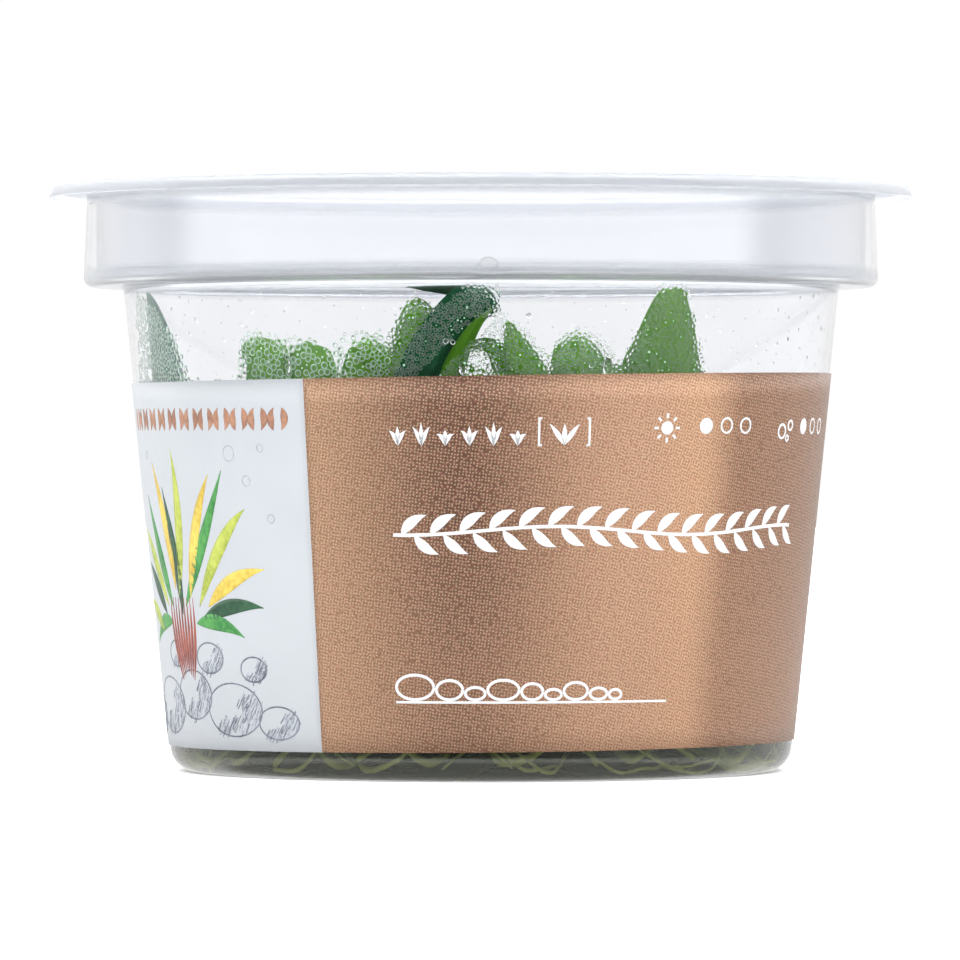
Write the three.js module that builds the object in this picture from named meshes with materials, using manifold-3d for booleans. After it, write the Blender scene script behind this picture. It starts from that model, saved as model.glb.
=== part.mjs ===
import * as THREE from 'three';
import { mergeVertices } from 'three/addons/utils/BufferGeometryUtils.js';
import Module from 'manifold-3d';

// A lidded clear cup of aquarium plantlets grown from tissue culture. Small broad-leaved
// plantlets stand on a bed of clear gel that their roots run through. The cup has a tapered
// body, a shoulder, a wide collar and a flange. A clear plug lid sits in the collar, and its own
// flange ends in a short skirt that covers the cup's.
// Millimetres, +Z up, origin at the centre of the base, on the surface that the cup stands on.

const wasm = await Module();
wasm.setup();

// Driving dimensions of the cup
const HEIGHT = 70;
const WALL = 0.6;
const GAP = 0.3;
const THIN_GAP = 0.2;
const ROOT_CLEARANCE = 0.5;
const BODY_R_AT_BASE = 37;
const BODY_TAPER = 0.1015;
const BASE_CORNER_R = 3;
const SHOULDER_Z = 57.9;
const SHOULDER_CORNER_R = 1.1;
const COLLAR_R_LOW = 47.65;
const COLLAR_R_HIGH = 47.2;
const CUP_FLANGE_R = 50.3;
const FLANGE_T = 0.4;
const SEGMENTS = 48;

// Driving dimensions of the lid
const LID_FLOOR_R = 46.1;
const LID_CORNER_R = 0.9;
const SKIRT_R_HIGH = 51.1;
const SKIRT_R_LOW = 51.8;
const SKIRT_LOW_Z = 68.5;

// Driving dimensions of the label, which is wrapped a little out of level
const LABEL_T = 0.2;
const LABEL_BOTTOM_Z = 3.5;
const LABEL_TOP_Z = 46.95;
const LABEL_TILT_BOTTOM = 0.008;
const LABEL_TILT_TOP = 0.0155;
const LABEL_SPAN_DEG = 285;
const LABEL_STEP_DEG = 360 / SEGMENTS;

// Driving dimensions of the gel and of what grows in it
const GEL_TOP_Z = 11;
const RHIZOME_R = 1.9;
const ROOT_R = 0.55;
const PETIOLE_R = 0.6;
const BLADE_T = 0.5;

const flangeUnderZ = HEIGHT - 2 * FLANGE_T - THIN_GAP;
const bodyRadius = (z) => BODY_R_AT_BASE + BODY_TAPER * z;
const innerRadius = (z) => bodyRadius(z) - WALL;

const materials = {
  clearPlastic: new THREE.MeshStandardMaterial({
    color: 0xeef1f5, roughness: 0.08, metalness: 0, transparent: true, opacity: 0.3,
  }),
  labelPaper: new THREE.MeshStandardMaterial({ color: 0xb98d72, roughness: 0.45, metalness: 0.3 }),
  gel: new THREE.MeshStandardMaterial({
    color: 0x8a8f72, roughness: 0.12, metalness: 0, transparent: true, opacity: 0.5,
  }),
  leaf: new THREE.MeshStandardMaterial({ color: 0x4f8a3e, roughness: 0.4, metalness: 0 }),
  rhizome: new THREE.MeshStandardMaterial({ color: 0x9aa869, roughness: 0.6, metalness: 0 }),
};

// Points of an arc in a lathe's profile, from one angle to another, in degrees.
function arc(r, z, radius, from, to, steps) {
  return Array.from({ length: steps + 1 }, (_, i) => {
    const a = THREE.MathUtils.degToRad(from + (i * (to - from)) / steps);
    return [r + radius * Math.cos(a), z + radius * Math.sin(a)];
  });
}

// A turned solid about +Z whose profile runs from the axis, round its outside, to the axis.
function turned(profile) {
  const points = profile.map(([r, z]) => new THREE.Vector2(r, z));
  return new THREE.LatheGeometry(points, SEGMENTS).rotateX(Math.PI / 2);
}

function toManifold(geometry) {
  const bare = geometry.clone();
  bare.deleteAttribute('normal');
  bare.deleteAttribute('uv');
  const merged = mergeVertices(bare);
  return new wasm.Manifold(new wasm.Mesh({
    numProp: 3,
    vertProperties: merged.attributes.position.array,
    triVerts: new Uint32Array(merged.index.array),
  }));
}

function fromManifold(solid) {
  const mesh = solid.getMesh();
  const geometry = new THREE.BufferGeometry();
  geometry.setAttribute('position', new THREE.BufferAttribute(mesh.vertProperties, 3));
  geometry.setIndex(new THREE.BufferAttribute(mesh.triVerts, 1));
  geometry.computeVertexNormals();
  return geometry;
}

// The cup: flat base, tapered wall, shoulder out to the collar, and the flange round its mouth.
function cup() {
  const corner = SHOULDER_CORNER_R;
  const insideCorner = corner - WALL;
  const baseCentreR = bodyRadius(BASE_CORNER_R) - BASE_CORNER_R;
  const shoulderTopZ = SHOULDER_Z + WALL;
  return turned([
    [0, 0],
    ...arc(baseCentreR, BASE_CORNER_R, BASE_CORNER_R, -90, 0, 3),
    [bodyRadius(SHOULDER_Z), SHOULDER_Z],
    ...arc(COLLAR_R_LOW - corner, SHOULDER_Z + corner, corner, -90, 0, 2),
    [COLLAR_R_HIGH, flangeUnderZ],
    [CUP_FLANGE_R, flangeUnderZ],
    [CUP_FLANGE_R, flangeUnderZ + FLANGE_T],
    [COLLAR_R_HIGH - WALL, flangeUnderZ + FLANGE_T],
    ...arc(COLLAR_R_LOW - corner, shoulderTopZ + insideCorner, insideCorner, 0, -90, 1),
    [innerRadius(shoulderTopZ), shoulderTopZ],
    ...arc(baseCentreR, BASE_CORNER_R, BASE_CORNER_R - WALL, 0, -90, 3),
    [0, WALL],
  ]);
}

// The plug lid: a shallow tray that stands on the shoulder, with a flange over the cup's flange
// and a skirt that flares as it comes down.
function lid() {
  const floorZ = SHOULDER_Z + WALL + THIN_GAP;
  const corner = LID_CORNER_R;
  const insideCorner = corner - WALL;
  const flangeZ = HEIGHT - FLANGE_T;
  const centreR = LID_FLOOR_R - corner;
  return turned([
    [0, floorZ],
    ...arc(centreR, floorZ + corner, corner, -90, 0, 2),
    [LID_FLOOR_R, flangeZ],
    [SKIRT_R_HIGH - FLANGE_T, flangeZ],
    [SKIRT_R_LOW - FLANGE_T, SKIRT_LOW_Z],
    [SKIRT_R_LOW, SKIRT_LOW_Z],
    [SKIRT_R_HIGH, HEIGHT],
    [LID_FLOOR_R - WALL, HEIGHT],
    ...arc(centreR, floorZ + WALL + insideCorner, insideCorner, 0, -90, 1),
    [0, floorZ + WALL],
  ]);
}

// The label: a flat strip bent round the tapered wall, open at the back of the cup.
function label() {
  const columns = Math.round(LABEL_SPAN_DEG / LABEL_STEP_DEG);
  const strip = new THREE.BoxGeometry(1, 1, LABEL_T, columns, 1, 1);
  const position = strip.attributes.position;
  for (let i = 0; i < position.count; i++) {
    const angle = THREE.MathUtils.degToRad(position.getX(i) * columns * LABEL_STEP_DEG);
    const along = position.getY(i) + 0.5;
    const across = bodyRadius(THREE.MathUtils.lerp(LABEL_BOTTOM_Z, LABEL_TOP_Z, along)) * Math.sin(angle);
    const bottom = LABEL_BOTTOM_Z + LABEL_TILT_BOTTOM * across;
    const top = LABEL_TOP_Z + LABEL_TILT_TOP * across;
    const z = THREE.MathUtils.lerp(bottom, top, along);
    const r = bodyRadius(z) + GAP + LABEL_T / 2 + position.getZ(i);
    position.setXYZ(i, r * Math.sin(angle), -r * Math.cos(angle), z);
  }
  return strip;
}

// A closed solid along a curve: a capped cylinder whose rings are set square to the curve.
// ring(t) gives a ring's half-width, half-thickness and fold, and across(t) the way its width
// runs. A fold lifts both edges towards the ring's upper side. The last ring lies past the
// curve's end by the length beyond.
function alongCurve(curve, sides, steps, ring, across, beyond = 0) {
  const body = new THREE.CylinderGeometry(1, 1, 1, sides, steps);
  const position = body.attributes.position;
  const width = new THREE.Vector3();
  const upper = new THREE.Vector3();
  for (let i = 0; i < position.count; i++) {
    const t = THREE.MathUtils.clamp(position.getY(i) + 0.5, 0, 1);
    const tangent = curve.getTangentAt(t);
    width.copy(across(t)).addScaledVector(tangent, -across(t).dot(tangent)).normalize();
    upper.crossVectors(width, tangent);
    const { half, thick, fold } = ring(t);
    const u = position.getX(i) * half;
    const v = position.getZ(i) * thick + fold * Math.abs(u);
    const point = curve.getPointAt(t).addScaledVector(width, u).addScaledVector(upper, v);
    if (t === 1) point.addScaledVector(tangent, beyond);
    position.setXYZ(i, point.x, point.y, point.z);
  }
  return body;
}

const curveThrough = (points) => new THREE.CatmullRomCurve3(points.map((p) => new THREE.Vector3(...p)));

// The leaf: a round stalk that spreads into a lance-shaped blade folded along its midrib.
const LEAF_SIDES = 6;
const LEAF_STEPS = 10;
const BLADE_SWELL = 0.55;
const BLADE_POINT = 0.75;
const bladePeak = BLADE_SWELL / (BLADE_SWELL + BLADE_POINT);
const bladeTop = bladePeak ** BLADE_SWELL * (1 - bladePeak) ** BLADE_POINT;
const TIP_HALF = 0.3;

function leaf({ route, blade, half, fold, across, acrossTip = across }) {
  const curve = curveThrough(route);
  const stalk = 1 - blade / curve.getLength();
  const low = new THREE.Vector3(...across);
  const high = new THREE.Vector3(...acrossTip);
  const ring = (t) => {
    const s = THREE.MathUtils.clamp((t - stalk) / (1 - stalk), 0, 1);
    const spread = (half * s ** BLADE_SWELL * (1 - s) ** BLADE_POINT) / bladeTop;
    const thin = THREE.MathUtils.smoothstep(s, 0, 0.25);
    const edge = THREE.MathUtils.lerp(PETIOLE_R, TIP_HALF, s);
    return {
      half: Math.max(edge, spread),
      thick: THREE.MathUtils.lerp(PETIOLE_R, BLADE_T / 2, thin),
      fold: fold * thin,
    };
  };
  return alongCurve(curve, LEAF_SIDES, LEAF_STEPS, ring, (t) => low.clone().lerp(high, t));
}

// Each leaf by its route from the foot of its stalk to its tip, the length of its blade, half the
// blade's width, how steeply the blade folds, and the way the blade's width runs.
const leaves = {
  leaf_01: {
    route: [[-24.6, -12, 15.6], [-30, -12, 22], [-35, -12.2, 31], [-38, -11.6, 45], [-39.4, -9.6, 57.2]],
    blade: 32, half: 6.4, fold: 0.03, across: [-0.29, 0.957, 0],
  },
  leaf_02: {
    route: [[-22.4, -14.4, 15.6], [-24, -20, 21], [-25.6, -26, 29], [-25.8, -29.8, 41],
      [-25.8, -29.9, 48.6], [-25.8, -27.4, 51.5], [-25.4, -23, 50.4]],
    blade: 33, half: 4.5, fold: 0.25, across: [-0.76, 0.65, 0],
  },
  leaf_03: {
    route: [[-20, -16, 15.6], [-19.4, -22, 22], [-19.6, -28, 31], [-20, -31.8, 42],
      [-20.3, -32.4, 48.2], [-20.2, -30, 50.9], [-20, -25.8, 49.6]],
    blade: 32, half: 4.2, fold: 0.25, across: [-0.86, 0.51, 0],
  },
  leaf_04: {
    route: [[-9, -20.4, 15.6], [-11, -25, 23], [-12.8, -28.4, 31], [-13.2, -31.6, 40],
      [-13.4, -33.8, 47], [-13.2, -32.4, 51], [-12.6, -27.6, 50.4]],
    blade: 33, half: 4.7, fold: 0.16, across: [-0.94, 0.33, 0],
  },
  leaf_05: {
    route: [[-2.2, -22.8, 15.6], [-2.6, -28, 23], [-3.4, -32.6, 32], [-5, -36, 41],
      [-8.4, -37.3, 46.4], [-14.8, -36.6, 50]],
    blade: 27, half: 3, fold: 0.1, across: [-0.6, 0.1, -0.8],
  },
  leaf_06: {
    route: [[-4.6, -19.8, 15.6], [-5.6, -24.4, 24], [-6.6, -29, 34], [-7.2, -33.4, 44], [-7.4, -35.5, 50],
      [-7.4, -35.9, 54.2], [-7.3, -33.6, 55.9], [-7.2, -31, 55]],
    blade: 31, half: 3.5, fold: 0.15, across: [-1, 0.1, 0],
  },
  leaf_07: {
    route: [[-6.4, -22.4, 15.6], [-7.4, -29, 22], [-8.4, -34.6, 30], [-7.8, -37.8, 40], [-6, -39, 47],
      [-3.2, -39.2, 52.2], [0, -38.8, 56.2], [0.2, -36.4, 57.3], [-4, -34.4, 57.5], [-8.6, -33.2, 57.4]],
    blade: 44, half: 3.4, fold: 0.1, across: [-0.9, 0, 0.4], acrossTip: [-0.8, -0.5, 0.3],
  },
  leaf_08: {
    route: [[10.8, -20.2, 15.6], [8.4, -25.6, 24], [5.6, -31, 34], [3.2, -34.6, 42], [2.4, -36, 47],
      [1.2, -36.6, 49.8], [-0.8, -36.4, 50.2], [-3, -35.6, 48.4]],
    blade: 30, half: 2.8, fold: 0.1, across: [-0.6, 0.7, -0.3],
  },
  leaf_09: {
    route: [[13, -21, 15.6], [12, -28, 23], [9.6, -34.2, 31], [7.4, -37.8, 40], [5.4, -38.8, 47],
      [4, -39.2, 50.6], [2.9, -39.4, 53.4]],
    blade: 30, half: 3.4, fold: 0.08, across: [-0.9, -0.1, -0.35],
  },
  leaf_10: {
    route: [[15.4, -19.6, 15.6], [15, -25, 23], [14, -30.4, 32], [12.8, -34.8, 42],
      [11.9, -36.2, 48.6], [11.2, -34.4, 51.6], [10.6, -30.2, 50.6]],
    blade: 31, half: 4.8, fold: 0.25, across: [-0.93, -0.34, 0],
  },
  leaf_11: {
    route: [[17.8, -13.6, 15.6], [18.4, -18, 24], [18.8, -22.4, 34], [18.6, -26, 42], [16.6, -29, 46.4],
      [11.6, -31, 47.2]],
    blade: 25, half: 2.6, fold: 0.1, across: [-0.6, -0.2, -0.7],
  },
  leaf_12: {
    route: [[21, -16, 15.6], [22.2, -21.6, 23], [22.6, -27.2, 32], [22.3, -31.6, 43], [22.5, -32.8, 51],
      [22.6, -33, 55.2], [22.6, -32, 57.2], [22.6, -29, 57.7]],
    blade: 37, half: 6.2, fold: 0.2, across: [-0.85, -0.53, 0],
  },
  leaf_13: {
    route: [[19.4, -14.8, 15.7], [20.4, -16.4, 24], [20.2, -19, 33], [19.2, -22, 42], [18.8, -24, 48.6],
      [19.8, -23.6, 53]],
    blade: 27, half: 3.6, fold: 0.15, across: [-0.9, -0.4, 0],
  },
  leaf_14: {
    route: [[15, 14.6, 15.6], [19.4, 18.6, 22], [24, 22.8, 29], [27.4, 26, 37], [27.6, 26.4, 45]],
    blade: 23, half: 4.8, fold: 0.15, across: [0.7, -0.71, 0],
  },
  leaf_15: {
    route: [[12.6, 16, 15.6], [13.4, 22, 22], [14, 29, 29], [13.8, 34, 37], [12.4, 35.4, 45.4]],
    blade: 24, half: 4.9, fold: 0.15, across: [0.93, -0.36, 0],
  },
  leaf_16: {
    route: [[10, 15.6, 15.6], [6.4, 21, 23], [3.6, 27.4, 31], [2, 32, 39], [1.2, 33.4, 46.6]],
    blade: 24, half: 4.6, fold: 0.15, across: [1, 0, 0],
  },
  leaf_17: {
    route: [[-13, 15.6, 15.6], [-12, 22, 22], [-11, 29, 30], [-10.4, 34, 38], [-9.8, 35.6, 46.4]],
    blade: 25, half: 4.8, fold: 0.15, across: [0.96, 0.28, 0],
  },
  leaf_18: {
    route: [[-15.6, 14.6, 15.6], [-20.6, 19.4, 22], [-24.4, 24, 29], [-27, 26.8, 37], [-27, 27.2, 45.4]],
    blade: 24, half: 4.9, fold: 0.15, across: [0.71, 0.7, 0],
  },
  leaf_19: {
    route: [[-17.8, 13, 15.6], [-24, 12.6, 22], [-31, 11.6, 29], [-35.8, 10.4, 38], [-37, 9.2, 46]],
    blade: 25, half: 4.8, fold: 0.15, across: [0.25, 0.97, 0],
  },
  leaf_20: {
    route: [[11.4, 13, 15.6], [9.6, 7, 24], [6.4, 2, 33], [2, -1.4, 42], [-3.4, -4, 49.6]],
    blade: 27, half: 5.2, fold: 0.2, across: [-0.5, 0.86, 0],
  },
  leaf_21: {
    route: [[-14.2, 12.4, 15.6], [-12, 6, 25], [-11, -1, 35], [-12, -8, 44], [-15, -15, 50.6]],
    blade: 27, half: 4.8, fold: 0.2, across: [-0.97, 0.2, 0],
  },
  leaf_22: {
    route: [[0.8, -22.4, 15.6], [0.6, -29, 22], [-0.6, -35, 30], [-2.6, -38.4, 40], [-3.4, -39.6, 46.7],
      [-2, -40.1, 50.4], [-0.4, -40.3, 53], [1.3, -40.2, 54.7]],
    blade: 29, half: 1.6, fold: 0.3, across: [-0.9, 0, 0.4],
  },
};

// Each plantlet's creeping stem by its two ends, and its roots by the points that they run through.
const stems = {
  rhizome_1: {
    ends: [[-26.6, -10.6], [-17.8, -17.2]],
    roots: [
      [[-18.8, -16.6, 13], [-15.6, -23, 7], [-14.2, -28.6, 2.8], [-16.6, -30.2, 2.2], [-20, -28, 4.6],
        [-23.6, -25, 2]],
      [[-25, -11.6, 13], [-28, -12.4, 7], [-31.4, -12, 3], [-33, -8, 2.6], [-33.4, -2, 4.4], [-33.8, 3.4, 2.2]],
    ],
  },
  rhizome_2: {
    ends: [[-10, -20.4], [0.4, -21.6]],
    roots: [
      [[-6.4, -21, 13], [-4.6, -26, 8], [-3.6, -31, 4], [-6, -33.6, 2.4], [-10.4, -32.8, 4.5],
        [-14.2, -31.6, 2.6]],
      [[-0.4, -21.6, 13], [0.6, -28, 7], [2.2, -33.8, 2.6], [4.8, -34, 2.6], [8.6, -33.4, 4.6],
        [11.6, -32.4, 4.3], [13.2, -31.4, 2.1]],
      [[-4, -21, 13], [-2, -15, 7], [1, -8, 3], [4, 0, 2.2], [3, 8, 2.2]],
    ],
  },
  rhizome_3: {
    ends: [[9.4, -20.8], [17.2, -19]],
    roots: [
      [[14.2, -19.6, 13], [14, -24, 8], [14.6, -28, 4], [17.2, -29.4, 2.6], [21, -27.2, 4.6],
        [24.2, -24.4, 2.4]],
    ],
  },
  rhizome_4: {
    ends: [[16.6, -12.6], [22.2, -16.6]],
    roots: [
      [[21.4, -16, 13], [25, -18.6, 7], [27.6, -19.4, 2.6], [29.4, -18, 2.6], [31.6, -13.6, 5],
        [33.4, -8.4, 2.4]],
      [[18, -13.6, 13], [19.6, -8, 7], [22, -1, 3], [24, 6, 2.2], [22, 13, 2.2]],
    ],
  },
  rhizome_5: {
    ends: [[16.6, 13.4], [9, 15]],
    roots: [
      [[11.6, 14.4, 13], [13.6, 21, 7], [14.8, 27, 3], [11, 31.2, 2.4], [5, 33.2, 4.2], [0, 33.8, 2.2]],
      [[15.4, 13.6, 13], [20, 16.6, 8], [25, 19, 4], [29, 16.4, 2.4], [32, 10, 3.6], [33.6, 3, 2.2]],
    ],
  },
  rhizome_6: {
    ends: [[-19.2, 12], [-11.8, 14.8]],
    roots: [
      [[-13, 14.4, 13], [-12, 20, 8], [-10.6, 27, 3.2], [-13, 30.4, 2.6], [-18.4, 28.2, 4.6],
        [-23.4, 24.4, 2.2]],
      [[-17, 12.8, 13], [-22, 14.4, 8], [-27, 15, 3.4], [-30.4, 14, 2.8], [-32.6, 10, 4], [-33, 7.4, 2.6]],
    ],
  },
};

const ROOT_SIDES = 6;
const ROOT_STEPS = 7;
const STEM_SIDES = 6;
const STEM_STEPS = 5;
const upright = new THREE.Vector3(0.1, 0.2, 1);

function root(points, clearance = 0) {
  const radius = ROOT_R + clearance;
  const ring = () => ({ half: radius, thick: radius, fold: 0 });
  return alongCurve(curveThrough(points), ROOT_SIDES, ROOT_STEPS, ring, () => upright, clearance);
}

// A creeping stem that lies on the gel, blunt at both ends, grown in one piece with its roots.
function rhizome({ ends, roots }) {
  const z = GEL_TOP_Z + GAP + RHIZOME_R;
  const [from, to] = ends.map(([x, y]) => new THREE.Vector3(x, y, z));
  const ring = (t) => {
    const radius = RHIZOME_R * Math.max(0.35, Math.sin(Math.PI * t) ** 0.4);
    return { half: radius, thick: radius, fold: 0 };
  };
  const stem = alongCurve(new THREE.LineCurve3(from, to), STEM_SIDES, STEM_STEPS, ring, () => upright);
  const parts = [stem, ...roots.map((points) => root(points))];
  return fromManifold(parts.map(toManifold).reduce((whole, part) => whole.add(part)));
}

// The gel fills the foot of the cup, with a way for each root that is open at the gel's top.
function cultureGel() {
  const low = WALL + GAP;
  const foot = BASE_CORNER_R - WALL - GAP;
  const centreR = bodyRadius(BASE_CORNER_R) - BASE_CORNER_R;
  const bed = turned([
    [0, low],
    ...arc(centreR, BASE_CORNER_R, foot, -90, 0, 3),
    [innerRadius(GEL_TOP_Z) - GAP, GEL_TOP_Z],
    [0, GEL_TOP_Z],
  ]);
  const ways = Object.values(stems).flatMap(({ roots }) => roots.map((points) => root(points, ROOT_CLEARANCE)));
  return fromManifold(ways.map(toManifold).reduce((whole, way) => whole.subtract(way), toManifold(bed)));
}

const plantCup = new THREE.Group();

function addPiece(name, geometry, material) {
  const piece = new THREE.Mesh(geometry, material);
  piece.name = name;
  plantCup.add(piece);
}

addPiece('cup', cup(), materials.clearPlastic);
addPiece('lid', lid(), materials.clearPlastic);
addPiece('label', label(), materials.labelPaper);
addPiece('culture_gel', cultureGel(), materials.gel);
for (const [name, shape] of Object.entries(stems)) addPiece(name, rhizome(shape), materials.rhizome);
for (const [name, shape] of Object.entries(leaves)) addPiece(name, leaf(shape), materials.leaf);

export default plantCup;
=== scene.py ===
"""Looks for a lidded clear cup of aquarium plantlets grown from tissue culture.

Lengths in this file are millimetres until a mesh is made, and +Z is up.
"""

import math

import bpy
import numpy as np
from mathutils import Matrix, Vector
from mathutils.kdtree import KDTree


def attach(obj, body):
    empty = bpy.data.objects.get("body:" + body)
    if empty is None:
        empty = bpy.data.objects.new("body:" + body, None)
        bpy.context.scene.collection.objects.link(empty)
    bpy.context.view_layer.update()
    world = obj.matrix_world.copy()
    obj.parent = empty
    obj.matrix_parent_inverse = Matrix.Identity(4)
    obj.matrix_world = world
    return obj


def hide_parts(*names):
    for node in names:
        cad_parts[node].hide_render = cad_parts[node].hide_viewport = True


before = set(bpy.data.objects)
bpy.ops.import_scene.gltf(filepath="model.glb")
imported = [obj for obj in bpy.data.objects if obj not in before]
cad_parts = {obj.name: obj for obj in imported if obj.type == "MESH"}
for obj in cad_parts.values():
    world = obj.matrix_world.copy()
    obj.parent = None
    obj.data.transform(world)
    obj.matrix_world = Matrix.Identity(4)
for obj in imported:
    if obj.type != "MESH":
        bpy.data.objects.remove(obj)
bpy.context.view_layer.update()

MM = 0.001
TURN = 2 * math.pi

# Sizes. The cup, the lid, the gel and the plants have the solids' own
WALL = 0.6
BODY_R_AT_BASE = 37
BODY_TAPER = 0.1015
BASE_CORNER_R = 3
SHOULDER_Z = 57.9
COLLAR_R_LOW = 47.65
COLLAR_R_HIGH = 47.2
CUP_FLANGE_R = 50.3
CUP_FLANGE_Z = (69.0, 69.4)
SKIRT_R_HIGH = 51.1
SKIRT_R_LOW = 51.8
SKIRT_LOW_Z = 68.5
SKIRT_T = 0.4
LID_FLANGE_Z = (69.6, 70.0)
LID_FLOOR_Z = (58.7, 59.3)
LID_R = 46.1
# Heights where the plastic turns milky
SHOULDER_FROST_Z = 58.6
FLANGE_FROST_Z = (67.6, 68.6)
# The label. It has the solid's edges, but it is thinner and lies closer to the wall
LABEL_BOTTOM_Z = 3.5
LABEL_TOP_Z = 46.95
LABEL_TILT_BOTTOM = 0.008
LABEL_TILT_TOP = 0.0155
LABEL_END = math.radians(142.5)
LABEL_BORDER = math.radians(-29.4)
LABEL_LIFT = (0.03, 0.19)
PRINT_LIFT = 0.022
# Distances round the label and round the inner wall are measured at these radii
LABEL_R = 40
WINDOW_R = 41.5
# The clear band above the label, by its width, its lower edge and its height
WINDOW_WIDTH = 130
WINDOW_Z = 46.2
WINDOW_HEIGHT = 11.6
# The gel and what grows in it
GEL_TOP_Z = 11
WALL_ROOT_R = 35.6
WALL_ROOTS = 34
RHIZOME_Z = 13.2
RHIZOME_R = 1.9
ROOT_R = 0.55
PETIOLE_R = 0.6
BLADE_T = 0.5
BLADE_SWELL = 0.55
BLADE_POINT = 0.75
BLADE_CUP = 0.3


def leaf(route, blade, half, fold, across, across_tip=None):
    """A leaf by its route from the foot of its stalk to its tip, the length of its blade, half the
    width of its blade, how steeply the blade folds, and the way that its width runs."""
    return {"route": route, "blade": blade, "half": half, "fold": fold, "across": across,
            "across_tip": across_tip or across}


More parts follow.
